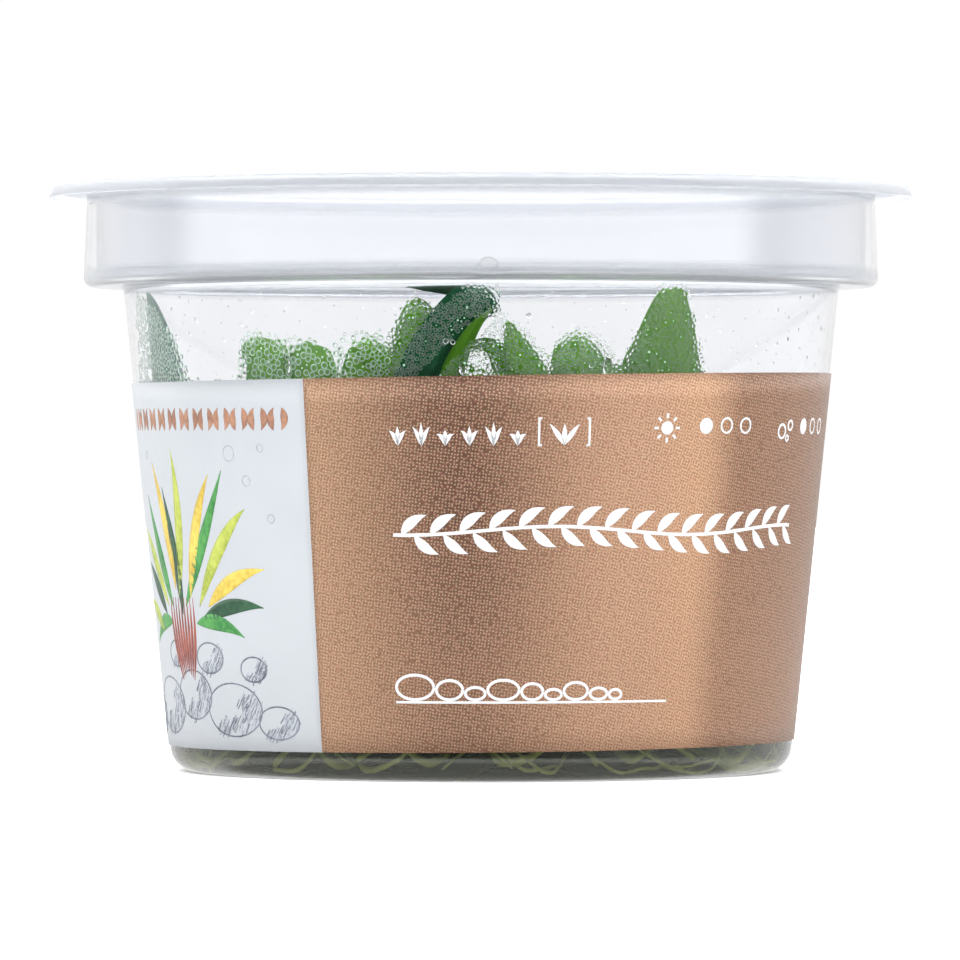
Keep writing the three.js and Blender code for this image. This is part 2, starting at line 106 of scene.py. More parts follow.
LEAVES = {
  "leaf_01": leaf([[-24.6, -12, 15.6], [-30, -12, 22], [-35, -12.2, 31], [-38, -11.6, 45],
      [-39.4, -9.6, 57.2]],
    32, 6.4, 0.03, [-0.29, 0.957, 0]),
  "leaf_02": leaf([[-22.4, -14.4, 15.6], [-24, -20, 21], [-25.6, -26, 29], [-25.8, -29.8, 41],
      [-25.8, -29.9, 48.6], [-25.8, -27.4, 51.5], [-25.4, -23, 50.4]],
    33, 4.5, 0.25, [-0.76, 0.65, 0]),
  "leaf_03": leaf([[-20, -16, 15.6], [-19.4, -22, 22], [-19.6, -28, 31], [-20, -31.8, 42],
      [-20.3, -32.4, 48.2], [-20.2, -30, 50.9], [-20, -25.8, 49.6]],
    32, 4.2, 0.25, [-0.86, 0.51, 0]),
  "leaf_04": leaf([[-9, -20.4, 15.6], [-11, -25, 23], [-12.8, -28.4, 31], [-13.2, -31.6, 40],
      [-13.4, -33.8, 47], [-13.2, -32.4, 51], [-12.6, -27.6, 50.4]],
    33, 4.7, 0.16, [-0.94, 0.33, 0]),
  "leaf_05": leaf([[-2.2, -22.8, 15.6], [-2.6, -28, 23], [-3.4, -32.6, 32], [-5, -36, 41],
      [-8.4, -37.3, 46.4], [-14.8, -36.6, 50]],
    27, 3, 0.1, [-0.6, 0.1, -0.8]),
  "leaf_06": leaf([[-4.6, -19.8, 15.6], [-5.6, -24.4, 24], [-6.6, -29, 34], [-7.2, -33.4, 44],
      [-7.4, -35.5, 50], [-7.4, -35.9, 54.2], [-7.3, -33.6, 55.9], [-7.2, -31, 55]],
    31, 3.5, 0.15, [-1, 0.1, 0]),
  "leaf_07": leaf([[-6.4, -22.4, 15.6], [-7.4, -29, 22], [-8.4, -34.6, 30], [-7.8, -37.8, 40], [-6, -39, 47],
      [-3.2, -39.2, 52.2], [0, -38.8, 56.2], [0.2, -36.4, 57.3], [-4, -34.4, 57.5], [-8.6, -33.2, 57.4]],
    44, 3.4, 0.1, [-0.9, 0, 0.4], [-0.8, -0.5, 0.3]),
  "leaf_08": leaf([[10.8, -20.2, 15.6], [8.4, -25.6, 24], [5.6, -31, 34], [3.2, -34.6, 42], [2.4, -36, 47],
      [1.2, -36.6, 49.8], [-0.8, -36.4, 50.2], [-3, -35.6, 48.4]],
    30, 2.8, 0.1, [-0.6, 0.7, -0.3]),
  "leaf_09": leaf([[13, -21, 15.6], [12, -28, 23], [9.6, -34.2, 31], [7.4, -37.8, 40], [5.4, -38.8, 47],
      [4, -39.2, 50.6], [2.9, -39.4, 53.4]],
    30, 3.4, 0.08, [-0.9, -0.1, -0.35]),
  "leaf_10": leaf([[15.4, -19.6, 15.6], [15, -25, 23], [14, -30.4, 32], [12.8, -34.8, 42],
      [11.9, -36.2, 48.6], [11.2, -34.4, 51.6], [10.6, -30.2, 50.6]],
    31, 4.8, 0.25, [-0.93, -0.34, 0]),
  "leaf_11": leaf([[17.8, -13.6, 15.6], [18.4, -18, 24], [18.8, -22.4, 34], [18.6, -26, 42],
      [16.6, -29, 46.4], [11.6, -31, 47.2]],
    25, 2.6, 0.1, [-0.6, -0.2, -0.7]),
  "leaf_12": leaf([[21, -16, 15.6], [22.2, -21.6, 23], [22.6, -27.2, 32], [22.3, -31.6, 43],
      [22.5, -32.8, 51], [22.6, -33, 55.2], [22.6, -32, 57.2], [22.6, -30.2, 57.6]],
    37, 6.2, 0.2, [-0.85, -0.53, 0]),
  "leaf_13": leaf([[19.4, -14.8, 15.7], [20.4, -16.4, 24], [20.2, -19, 33], [19.2, -22, 42],
      [18.8, -24, 48.6], [19.8, -23.6, 53]],
    27, 3.6, 0.15, [-0.9, -0.4, 0]),
  "leaf_14": leaf([[15, 14.6, 15.6], [19.4, 18.6, 22], [24, 22.8, 29], [27.4, 26, 37], [27.6, 26.4, 45]],
    23, 4.8, 0.15, [0.7, -0.71, 0]),
  "leaf_15": leaf([[12.6, 16, 15.6], [13.4, 22, 22], [14, 29, 29], [13.8, 34, 37], [12.4, 35.4, 45.4]],
    24, 4.9, 0.15, [0.93, -0.36, 0]),
  "leaf_16": leaf([[10, 15.6, 15.6], [6.4, 21, 23], [3.6, 27.4, 31], [2, 32, 39], [1.2, 33.4, 46.6]],
    24, 4.6, 0.15, [1, 0, 0]),
  "leaf_17": leaf([[-13, 15.6, 15.6], [-12, 22, 22], [-11, 29, 30], [-10.4, 34, 38], [-9.8, 35.6, 46.4]],
    25, 4.8, 0.15, [0.96, 0.28, 0]),
  "leaf_18": leaf([[-15.6, 14.6, 15.6], [-20.6, 19.4, 22], [-24.4, 24, 29], [-27, 26.8, 37],
      [-27, 27.2, 45.4]],
    24, 4.9, 0.15, [0.71, 0.7, 0]),
  "leaf_19": leaf([[-17.8, 13, 15.6], [-24, 12.6, 22], [-31, 11.6, 29], [-35.8, 10.4, 38], [-37, 9.2, 46]],
    25, 4.8, 0.15, [0.25, 0.97, 0]),
  "leaf_20": leaf([[11.4, 13, 15.6], [9.6, 7, 24], [6.4, 2, 33], [2, -1.4, 42], [-3.4, -4, 49.6]],
    27, 5.2, 0.2, [-0.5, 0.86, 0]),
  "leaf_21": leaf([[-14.2, 12.4, 15.6], [-12, 6, 25], [-11, -1, 35], [-12, -8, 44], [-15, -15, 50.6]],
    27, 4.8, 0.2, [-0.97, 0.2, 0]),
  "leaf_22": leaf([[0.8, -22.4, 15.6], [0.6, -29, 22], [-0.6, -35, 30], [-2.6, -38.4, 40],
      [-3.4, -39.6, 46.7], [-2, -40.1, 50.4], [-0.4, -40.3, 53], [1.3, -40.2, 54.7]],
    29, 1.6, 0.3, [-0.9, 0, 0.4]),
}

# Each creeping stem by its two ends, and its roots by the points that they run through
STEMS = {
  "rhizome_1": {
    "ends": [[-26.6, -10.6], [-17.8, -17.2]],
    "roots": [
      [[-18.8, -16.6, 13], [-15.6, -23, 7], [-14.2, -28.6, 2.8], [-16.6, -30.2, 2.2], [-20, -28, 4.6],
        [-23.6, -25, 2]],
      [[-25, -11.6, 13], [-28, -12.4, 7], [-31.4, -12, 3], [-33, -8, 2.6], [-33.4, -2, 4.4],
        [-33.8, 3.4, 2.2]],
    ],
  },
  "rhizome_2": {
    "ends": [[-10, -20.4], [0.4, -21.6]],
    "roots": [
      [[-6.4, -21, 13], [-4.6, -26, 8], [-3.6, -31, 4], [-6, -33.6, 2.4], [-10.4, -32.8, 4.5],
        [-14.2, -31.6, 2.6]],
      [[-0.4, -21.6, 13], [0.6, -28, 7], [2.2, -33.8, 2.6], [4.8, -34, 2.6], [8.6, -33.4, 4.6],
        [11.6, -32.4, 4.3], [13.2, -31.4, 2.1]],
      [[-4, -21, 13], [-2, -15, 7], [1, -8, 3], [4, 0, 2.2], [3, 8, 2.2]],
    ],
  },
  "rhizome_3": {
    "ends": [[9.4, -20.8], [17.2, -19]],
    "roots": [
      [[14.2, -19.6, 13], [14, -24, 8], [14.6, -28, 4], [17.2, -29.4, 2.6], [21, -27.2, 4.6],
        [24.2, -24.4, 2.4]],
    ],
  },
  "rhizome_4": {
    "ends": [[16.6, -12.6], [22.2, -16.6]],
    "roots": [
      [[21.4, -16, 13], [25, -18.6, 7], [27.6, -19.4, 2.6], [29.4, -18, 2.6], [31.6, -13.6, 5],
        [33.4, -8.4, 2.4]],
      [[18, -13.6, 13], [19.6, -8, 7], [22, -1, 3], [24, 6, 2.2], [22, 13, 2.2]],
    ],
  },
  "rhizome_5": {
    "ends": [[16.6, 13.4], [9, 15]],
    "roots": [
      [[11.6, 14.4, 13], [13.6, 21, 7], [14.8, 27, 3], [11, 31.2, 2.4], [5, 33.2, 4.2], [0, 33.8, 2.2]],
      [[15.4, 13.6, 13], [20, 16.6, 8], [25, 19, 4], [29, 16.4, 2.4], [32, 10, 3.6], [33.6, 3, 2.2]],
    ],
  },
  "rhizome_6": {
    "ends": [[-19.2, 12], [-11.8, 14.8]],
    "roots": [
      [[-13, 14.4, 13], [-12, 20, 8], [-10.6, 27, 3.2], [-13, 30.4, 2.6], [-18.4, 28.2, 4.6],
        [-23.4, 24.4, 2.2]],
      [[-17, 12.8, 13], [-22, 14.4, 8], [-27, 15, 3.4], [-30.4, 14, 2.8], [-32.6, 10, 4], [-33, 7.4, 2.6]],
    ],
  },
}


# Shapes


def body_radius(z):
    return BODY_R_AT_BASE + BODY_TAPER * z


def inner_radius(z):
    return body_radius(z) - WALL


def smoothstep(x, low, high):
    x = np.clip((x - low) / (high - low), 0, 1)
    return x * x * (3 - 2 * x)


def unit(v):
    return v / np.linalg.norm(v, axis=-1, keepdims=True)


def shell(rings):
    """Points and faces of a closed body: rings of points joined by quads, with a fan at each end."""
    rings = np.asarray(rings, float)
    n, m, _ = rings.shape
    points = np.concatenate([rings.reshape(-1, 3), [rings[0].mean(0), rings[-1].mean(0)]])
    row = np.arange(n - 1)[:, None] * m
    near = np.arange(m)[None]
    far = (near + 1) % m
    quads = np.stack([row + near, row + far, row + m + far, row + m + near], -1).reshape(-1, 4)
    last = (n - 1) * m
    first_fan = np.stack([np.full(m, n * m), far[0], near[0]], -1)
    last_fan = np.stack([np.full(m, n * m + 1), last + near[0], last + far[0]], -1)
    tris = np.concatenate([first_fan, last_fan])
    corners = np.concatenate([quads[:, [0, 1, 2]], quads[:, [0, 2, 3]], tris])
    a, b, c = (points[corners[:, i]] for i in range(3))
    if np.einsum("ij,ij->i", a, np.cross(b, c)).sum() < 0:
        quads, tris = quads[:, ::-1], tris[:, ::-1]
    return points, quads, tris


def joined(shells):
    """Several closed bodies as one set of points and faces."""
    points, quads, tris, at = [], [], [], 0
    for p, q, t in shells:
        points.append(p)
        quads.append(q + at)
        tris.append(t + at)
        at += len(p)
    return np.concatenate(points), np.concatenate(quads), np.concatenate(tris)


def piece(name, shells, material, replaces=(), attribute=None):
    """A mesh of the object that rides on the root, from one closed body or several."""
    points, quads, tris = joined(shells)
    corners = np.concatenate([quads.ravel(), tris.ravel()])
    counts = np.concatenate([np.full(len(quads), 4), np.full(len(tris), 3)])
    mesh = bpy.data.meshes.new(name)
    mesh.vertices.add(len(points))
    mesh.vertices.foreach_set("co", (points * MM).ravel())
    mesh.loops.add(len(corners))
    mesh.loops.foreach_set("vertex_index", corners)
    mesh.polygons.add(len(counts))
    mesh.polygons.foreach_set("loop_start", np.concatenate([[0], np.cumsum(counts)[:-1]]))
    mesh.polygons.foreach_set("use_smooth", np.ones(len(counts), bool))
    mesh.update(calc_edges=True)
    mesh.validate()
    if attribute:
        key, values = attribute
        layer = mesh.attributes.new(key, "FLOAT_VECTOR", "POINT")
        layer.data.foreach_set("vector", np.asarray(values, float).ravel())
    mesh.materials.append(material)
    made = bpy.data.objects.new(name, mesh)
    bpy.context.scene.collection.objects.link(made)
    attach(made, "root")
    if replaces:
        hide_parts(*replaces)
    return made


def filleted(corners, steps=5, support=0.3):
    """A profile through corners of (r, z, fillet radius), with points close to each fillet's ends."""
    corners = [np.array(c, float) for c in corners]
    out = [corners[0][:2]]
    for before, at, after in zip(corners[:-2], corners[1:-1], corners[2:]):
        to_before, to_after = unit(before[:2] - at[:2]), unit(after[:2] - at[:2])
        half = math.acos(np.clip(to_before @ to_after, -1, 1)) / 2
        reach = at[2] / math.tan(half)
        start, end = at[:2] + to_before * reach, at[:2] + to_after * reach
        centre = at[:2] + unit(to_before + to_after) * at[2] / math.sin(half)
        if np.linalg.norm(start - out[-1]) > 2.5 * support:
            out.append(out[-1] + unit(start - out[-1]) * support)
            out.append(start + to_before * support)
        a, b = (math.atan2(*(p - centre)[::-1]) for p in (start, end))
        turn = (b - a + math.pi) % TURN - math.pi
        out += [centre + at[2] * np.array([math.cos(a + turn * i / steps), math.sin(a + turn * i / steps)])
                for i in range(steps + 1)]
    if np.linalg.norm(corners[-1][:2] - out[-1]) > 2.5 * support:
        out.append(out[-1] + unit(corners[-1][:2] - out[-1]) * support)
    out.append(corners[-1][:2])
    return np.array(out)


def turned(profile, segments=160, shape=None):
    """A body turned about the Z axis from a profile whose two ends lie on the axis."""
    a = np.arange(segments) * TURN / segments
    r, z = profile[1:-1, 0][:, None], profile[1:-1, 1][:, None]
    rings = np.stack([r * np.sin(a), -r * np.cos(a), z + 0 * a], -1)
    if shape:
        rings = shape(rings)
    points, quads, tris = shell(rings)
    points[-2:] = [[0, 0, profile[0, 1]], [0, 0, profile[-1, 1]]]
    return points, quads, tris


def curve_through(points, samples=40):
    """A centripetal Catmull-Rom curve through the points, as a dense polyline."""
    p = np.asarray(points, float)
    p = np.vstack([2 * p[0] - p[1], p, 2 * p[-1] - p[-2]])
    s = np.linspace(0, 1, samples, endpoint=False)[:, None]
    out = []
    for a, b, c, d in zip(p[:-3], p[1:-2], p[2:-1], p[3:]):
        t0, t1, t2 = (math.sqrt(np.linalg.norm(v)) for v in (b - a, c - b, d - c))
        m1 = ((b - a) / t0 - (c - a) / (t0 + t1) + (c - b) / t1) * t1
        m2 = ((c - b) / t1 - (d - b) / (t1 + t2) + (d - c) / t2) * t1
        out.append((2 * s**3 - 3 * s**2 + 1) * b + (s**3 - 2 * s**2 + s) * m1
                   + (3 * s**2 - 2 * s**3) * c + (s**3 - s**2) * m2)
    return np.vstack(out + [p[-2][None]])


def along(line, t):
    """Points and directions at the shares t of a polyline's length, and its length."""
    steps = np.linalg.norm(np.diff(line, axis=0), axis=1)
    share = np.concatenate([[0], np.cumsum(steps)]) / steps.sum()

    def at(x):
        return np.stack([np.interp(x, share, line[:, i]) for i in range(3)], -1)

    direction = unit(at(np.clip(t + 0.01, 0, 1)) - at(np.clip(t - 0.01, 0, 1)))
    return at(t), direction, steps.sum()


def circles(at, direction, radii, sides):
    """Circles of points round the places of a line, square to its directions."""
    side = unit(np.cross(direction, [0.1, 0.2, 1.0]))
    upper = np.cross(side, direction)
    a = np.arange(sides) * TURN / sides
    ring = np.cos(a)[None, :, None] * side[:, None] + np.sin(a)[None, :, None] * upper[:, None]
    return at[:, None] + ring * radii[:, None, None]


def tube(points, radius, steps, sides, wander, seed):
    """A round body along a curve. radius gives its radius at each share of its length."""
    t = np.concatenate([np.linspace(0, 0.985, steps), [0.992, 0.997, 1.0]])
    at, direction, _ = along(curve_through(points), t)
    at = at + wander * wobble(at, seed)
    r = radius(t) * np.concatenate([np.ones(steps), [0.86, 0.55, 0.12]])
    return shell(circles(at, direction, r, sides))


def wobble(at, seed):
    """A smooth offset of about one unit that changes over a few millimetres."""
    draw = np.random.default_rng(seed)
    total = np.zeros_like(at)
    for length in (9.0, 5.0, 2.8):
        wave = unit(draw.normal(size=(3, 3))) * TURN / length
        total += np.sin(at @ wave.T + draw.uniform(0, TURN, 3)) * 0.5
    return total


# Materials


def add(tree, kind, inputs=None, **settings):
    """A shader node with its settings, and with its inputs linked or set. A text is a colour's code."""
    node = tree.nodes.new("ShaderNode" + kind)
    for key, value in settings.items():
        setattr(node, key, value)
    for key, value in (inputs or {}).items():
        if isinstance(value, bpy.types.NodeSocket):
            tree.links.new(value, node.inputs[key])
        else:
            node.inputs[key].default_value = colour(value) if isinstance(value, str) else value
    return node


def maths(tree, operation, a, b=0.0, c=0.0):
    return add(tree, "Math", {0: a, 1: b, 2: c}, operation=operation).outputs[0]


def mixed(tree, share, a, b):
    """One colour mixed with another by a share."""
    return add(tree, "Mix", {0: share, 6: a, 7: b}, data_type="RGBA").outputs[2]


def colour(hex_code):
    """A linear colour from a six-digit sRGB code."""
    parts = [int(hex_code[i:i + 2], 16) / 255 for i in (0, 2, 4)]
    return [c / 12.92 if c <= 0.04045 else ((c + 0.055) / 1.055) ** 2.4 for c in parts] + [1]


def ramp(tree, share, stops):
    """A colour ramp through stops of (place, colour)."""
    node = add(tree, "ValToRGB", {0: share})
    bar = node.color_ramp
    bar.interpolation = "EASE"
    for i, (place, shade) in enumerate(stops):
        element = bar.elements[i] if i < 2 else bar.elements.new(place)
        element.position = place
        element.color = colour(shade) if isinstance(shade, str) else shade
    return node.outputs[0]


def noise(tree, where, scale, detail=2.0, rough=0.5):
    """Noise from 0 to 1 with features of about 1000 / scale millimetres."""
    inputs = {"Vector": where, "Scale": scale, "Detail": detail, "Roughness": rough}
    return add(tree, "TexNoise", inputs).outputs[0]


def mapped(tree, value, low, high, start, end, curve="LINEAR"):
    """A value taken from the range low to high into the range start to end, and held at its ends."""
    inputs = {0: value, 1: low, 2: high, 3: start, 4: end}
    return add(tree, "MapRange", inputs, interpolation_type=curve).outputs[0]


def axes(tree, vector):
    return add(tree, "SeparateXYZ", {0: vector}).outputs


def times(tree, a, b):
    return maths(tree, "MULTIPLY", a, b)


def times_plus(tree, a, b, c):
    return maths(tree, "MULTIPLY_ADD", a, b, c)


def bump(tree, height, strength, distance_mm, normal=None):
    inputs = {"Height": height, "Strength": strength, "Distance": distance_mm * MM}
    if normal:
        inputs["Normal"] = normal
    return add(tree, "Bump", inputs).outputs[0]


def new_material(name, **sockets):
    """A material with one Principled shader, its sockets set by name with _ for a space."""
    material = bpy.data.materials.new(name)
    material.use_nodes = True
    tree = material.node_tree
    tree.nodes.clear()
    output = add(tree, "OutputMaterial")
    shader = add(tree, "BsdfPrincipled")
    tree.links.new(shader.outputs[0], output.inputs[0])
    for key, value in sockets.items():
        shader.inputs[key.replace("_", " ")].default_value = value
    where = add(tree, "TexCoord").outputs["Object"]
    return material, tree, shader, output, where


def dress(tree, shader, base, roughness=None, normal=None):
    """Links what is given to a Principled shader's base colour, roughness and normal."""
    for key, socket in (("Base Color", base), ("Roughness", roughness), ("Normal", normal)):
        if socket:
            tree.links.new(socket, shader.inputs[key])


def cover(tree, output, share, shader, other):
    """A surface that shows a share of another shader."""
    both = add(tree, "MixShader", {0: share, 1: shader.outputs[0], 2: other.outputs[0]})
    tree.links.new(both.outputs[0], output.inputs[0])


def fill(tree, output, tint, density):
    """A volume that takes a tint from the light on its way through."""
    absorb = add(tree, "VolumeAbsorption")
    absorb.inputs["Color"].default_value = (*tint, 1)
    absorb.inputs["Density"].default_value = density
    tree.links.new(absorb.outputs[0], output.inputs["Volume"])


def clear_plastic(name, seed, clearness):
    """Clear moulded plastic with a faint haze and ripples, milky at the shoulder and the flange."""
    material, tree, shader, output, where = new_material(
        name, Base_Color=(0.965, 0.968, 0.982, 1), Transmission_Weight=1.0, IOR=1.49,
        Specular_IOR_Level=0.25)
    stretched = {"Vector": where, "Location": (seed, 0, 0), "Scale": (1, 1, 0.35)}
    moved = add(tree, "Mapping", stretched).outputs[0]
    haze = noise(tree, moved, 60, 1)
    ripple = bump(tree, noise(tree, moved, 90, 1), 0.12, 0.1)
    scuff = bump(tree, noise(tree, moved, 900, 1), 0.03, 0.02, ripple)
    _, _, z = axes(tree, where)
    low, high = FLANGE_FROST_Z
    flange = mapped(tree, z, low * MM, high * MM, 0.0, 0.34)
    from_shoulder = maths(tree, "ABSOLUTE", maths(tree, "SUBTRACT", z, SHOULDER_FROST_Z * MM))
    shoulder = mapped(tree, from_shoulder, 0.8 * MM, 1.8 * MM, 0.2, 0.0)
    frost = times_plus(tree, shoulder, 0.12, flange)
    dress(tree, shader, None, times_plus(tree, haze, 0.04, frost), scuff)
    milky = times_plus(tree, shoulder, 0.9, times_plus(tree, flange, 0.6, 1 - clearness))
    veil = add(tree, "BsdfTranslucent", {"Color": (0.84, 0.86, 0.89, 1)})
    cover(tree, output, milky, shader, veil)
    fill(tree, output, (0.80, 0.86, 0.93), 30.0)
    return material


def water_material(name, misty):
    """Clear water, and on close-packed drops a mist of finer ones round their rims."""
    material, tree, shader, output, where = new_material(
        name, Base_Color=(1, 1, 1, 1), Transmission_Weight=1.0, IOR=1.333, Roughness=0.0)
    dress(tree, shader, None, None, bump(tree, noise(tree, where, 700, 1), 0.04, 0.02))
    if misty:
        rim = add(tree, "Attribute", attribute_name="rim").outputs["Vector"]
        share, _, _ = axes(tree, rim)
        patch = noise(tree, where, 1500, 2)
        share = times(tree, share, times_plus(tree, patch, 0.8, 0.6))
        front = add(tree, "BsdfDiffuse", {"Color": (0.68, 0.82, 0.70, 1)})
        back = add(tree, "BsdfTranslucent", {"Color": (0.60, 0.76, 0.62, 1)})
        mist = add(tree, "AddShader", {0: front.outputs[0], 1: back.outputs[0]})
        cover(tree, output, share, shader, mist)
    return material


def gel_material():
    """Greenish grey gel with faint streaks where it set."""
    material, tree, shader, output, where = new_material(
        "culture_gel", Base_Color=(0.84, 0.90, 0.66, 1), Transmission_Weight=0.95, IOR=1.34)
    cloud = noise(tree, where, 160, 3)
    dress(tree, shader, None, times_plus(tree, cloud, 0.10, 0.01), bump(tree, cloud, 0.2, 0.3))
    fill(tree, output, (0.785, 0.812, 0.6), 850.0)
    return material


def leaf_material(name, deep, mid, pale, underside, glow_shade):
    """A leaf with a midrib, fine side veins that run towards the tip, and mottled greens."""
    material, tree, shader, output, where = new_material(
        name, IOR=1.4, Specular_IOR_Level=0.15, Coat_Weight=0.02, Coat_Roughness=0.2)
    blade = add(tree, "Attribute", attribute_name="blade").outputs["Vector"]
    u, s, side = axes(tree, blade)
    reach = maths(tree, "ABSOLUTE", u)
    wave = times_plus(tree, s, 26.0, times(tree, reach, -3.2))
    warp = noise(tree, where, 300, 2)
    wave = maths(tree, "ADD", wave, times(tree, warp, 0.8))
    crest = maths(tree, "ABSOLUTE", maths(tree, "COSINE", times(tree, wave, math.pi)))
    vein = maths(tree, "POWER", crest, 14.0)
    midrib = mapped(tree, reach, 0.03, 0.13, 1.0, 0.0)
    mottle = noise(tree, where, 220, 4, 0.6)
    base = ramp(tree, mottle, [(0.32, deep), (0.68, mid)])
    towards_tip = mapped(tree, s, 0.55, 1.0, 0.0, 0.45)
    base = mixed(tree, towards_tip, base, pale)
    base = mixed(tree, times(tree, vein, 0.10), base, pale)
    base = mixed(tree, times(tree, midrib, 0.55), base, pale)
    cells = add(tree, "TexVoronoi", {"Vector": where, "Scale": 2600.0}).outputs["Distance"]
    dots = mapped(tree, cells, 0.12, 0.4, 0.6, 0.0)
    base = mixed(tree, dots, base, pale)
    below = mapped(tree, side, 0.05, -0.05, 0.0, 0.7)
    base = mixed(tree, below, base, underside)
    stalk = mapped(tree, s, 0.0, 0.06, 0.8, 0.0)
    base = mixed(tree, stalk, base, underside)
    relief = bump(tree, cells, 0.12, 0.04)
    relief = bump(tree, maths(tree, "ADD", vein, times(tree, midrib, 2.0)), 0.35, 0.12, relief)
    dress(tree, shader, base, times_plus(tree, mottle, 0.2, 0.26), relief)
    # Painted shade: the colour of the light through the blade darkens towards its edges, standing in for a
    # curved blade turning away from the light
    edge = mapped(tree, reach, 0.45, 1.0, 0.0, 0.8)
    glow_with_painted_edge_shade = mixed(tree, edge, mixed(tree, 0.6, base, glow_shade), deep)
    glow = add(tree, "BsdfTranslucent", {"Color": glow_with_painted_edge_shade, "Normal": relief})
    cover(tree, output, 0.45, shader, glow)
    return material


def root_material(name, dark, light, roughness=0.5):
    """A pale root or stem, mottled and finely rough."""
    material, tree, shader, _, where = new_material(name, IOR=1.40, Coat_Weight=0.15, Coat_Roughness=0.3)
    streak = noise(tree, where, 700, 3, 0.6)
    patch = noise(tree, where, 120, 2)
    shade = ramp(tree, times_plus(tree, patch, 0.6, times(tree, streak, 0.4)),
                 [(0.3, dark), (0.62, light)])
    dress(tree, shader, shade, times_plus(tree, streak, 0.25, roughness - 0.12),
          bump(tree, streak, 0.5, 0.12))
    return material


def copper_label():
    """Copper print: dark, pink and cream specks that stand unevenly on a satin metal ground. The ground's
    copper colour carries painted sheen and shade: lighter and darker bands along the label stand in for the
    lights' reflection in the metal.
    """
    material, tree, shader, _, where = new_material("label_copper", Metallic=0.3, IOR=1.45, Coat_Weight=0.0)
    sheet = add(tree, "Attribute", attribute_name="sheet").outputs["Vector"]

    def specks(degrees, pitch, size, share):
        """Uneven specks on the sheet: 1 on a speck and 0 between them, where a share of them is printed."""
        turn = (0, 0, math.radians(degrees))
        slanted = add(tree, "Mapping", {"Vector": sheet, "Rotation": turn}).outputs[0]
        cells = add(tree, "TexVoronoi", {"Vector": slanted, "Scale": 1 / pitch, "Randomness": 0.35},
                    voronoi_dimensions="2D")
        spot = mapped(tree, cells.outputs["Distance"], size - 0.07, size + 0.07, 1.0, 0.0)
        chance, _, _ = axes(tree, cells.outputs["Color"])
        return times(tree, spot, maths(tree, "LESS_THAN", chance, share))

    dark = specks(22, 0.36, 0.42, 1.0)
    pink = specks(52, 0.45, 0.30, 0.6)
    light = specks(7, 0.38, 0.26, 0.95)
    drift = noise(tree, where, 40, 3)
    s, _, _ = axes(tree, sheet)
    # Painted sheen and shade: the ground turns lighter and darker along the label where the lights would be
    # reflected in the metal
    painted_sheen_share = mapped(tree, s, -40.0, 100.0, 0.0, 1.0)
    ground = ramp(tree, times_plus(tree, drift, 0.02, painted_sheen_share), [
        (0.14, "9c7b5f"), (0.28, "573c2e"), (0.43, "a98469"),
        (0.485, "b48d6d"),
        (0.535, "7a5a45"), (0.8, "664b3a")])
    _, _, z = axes(tree, where)
    # Towards the bottom the painted bands fade into one even tone
    low = mapped(tree, z, 30 * MM, 13 * MM, 0.0, 0.3)
    ground = mixed(tree, low, ground, "9a785f")
    shade = ground
    for printed, strength, code in ((dark, 0.5, "5c3829"), (pink, 0.3, "b07767"), (light, 0.42, "c8ae8c")):
        shade = mixed(tree, times(tree, printed, strength), shade, code)
    dress(tree, shader, shade, times_plus(tree, noise(tree, where, 900, 3), 0.14, 0.33),
          bump(tree, noise(tree, where, 30, 2), 0.05, 0.5))
    return material


def white_label():
    """White film print with a faint grain and a soft grey cast."""
    material, tree, shader, _, where = new_material(
        "label_white", IOR=1.45, Coat_Weight=0.2, Coat_Roughness=0.3)
    grain = noise(tree, where, 900, 3, 0.7)
    drift = noise(tree, where, 45, 3)
    shade = ramp(tree, drift, [(0.3, "9da0a3"), (0.7, "a3a6a9")])
    shade = mixed(tree, times(tree, grain, 0.12), shade, "8a9198")
    dress(tree, shader, shade, times_plus(tree, grain, 0.12, 0.36), bump(tree, grain, 0.06, 0.05))
    return material


def ink(name, dark, light):
    """A printed colour with the grain of a coloured pencil."""
    material, tree, shader, _, where = new_material(name, IOR=1.45)
    grain = noise(tree, where, 1500, 4, 0.7)
    patch = noise(tree, where, 260, 2)
    share = times_plus(tree, grain, 0.55, times(tree, patch, 0.45))
    shade = ramp(tree, share, [(0.36, dark), (0.62, light)])
    dress(tree, shader, shade, times_plus(tree, grain, 0.15, 0.35))
    return material


# Leaves


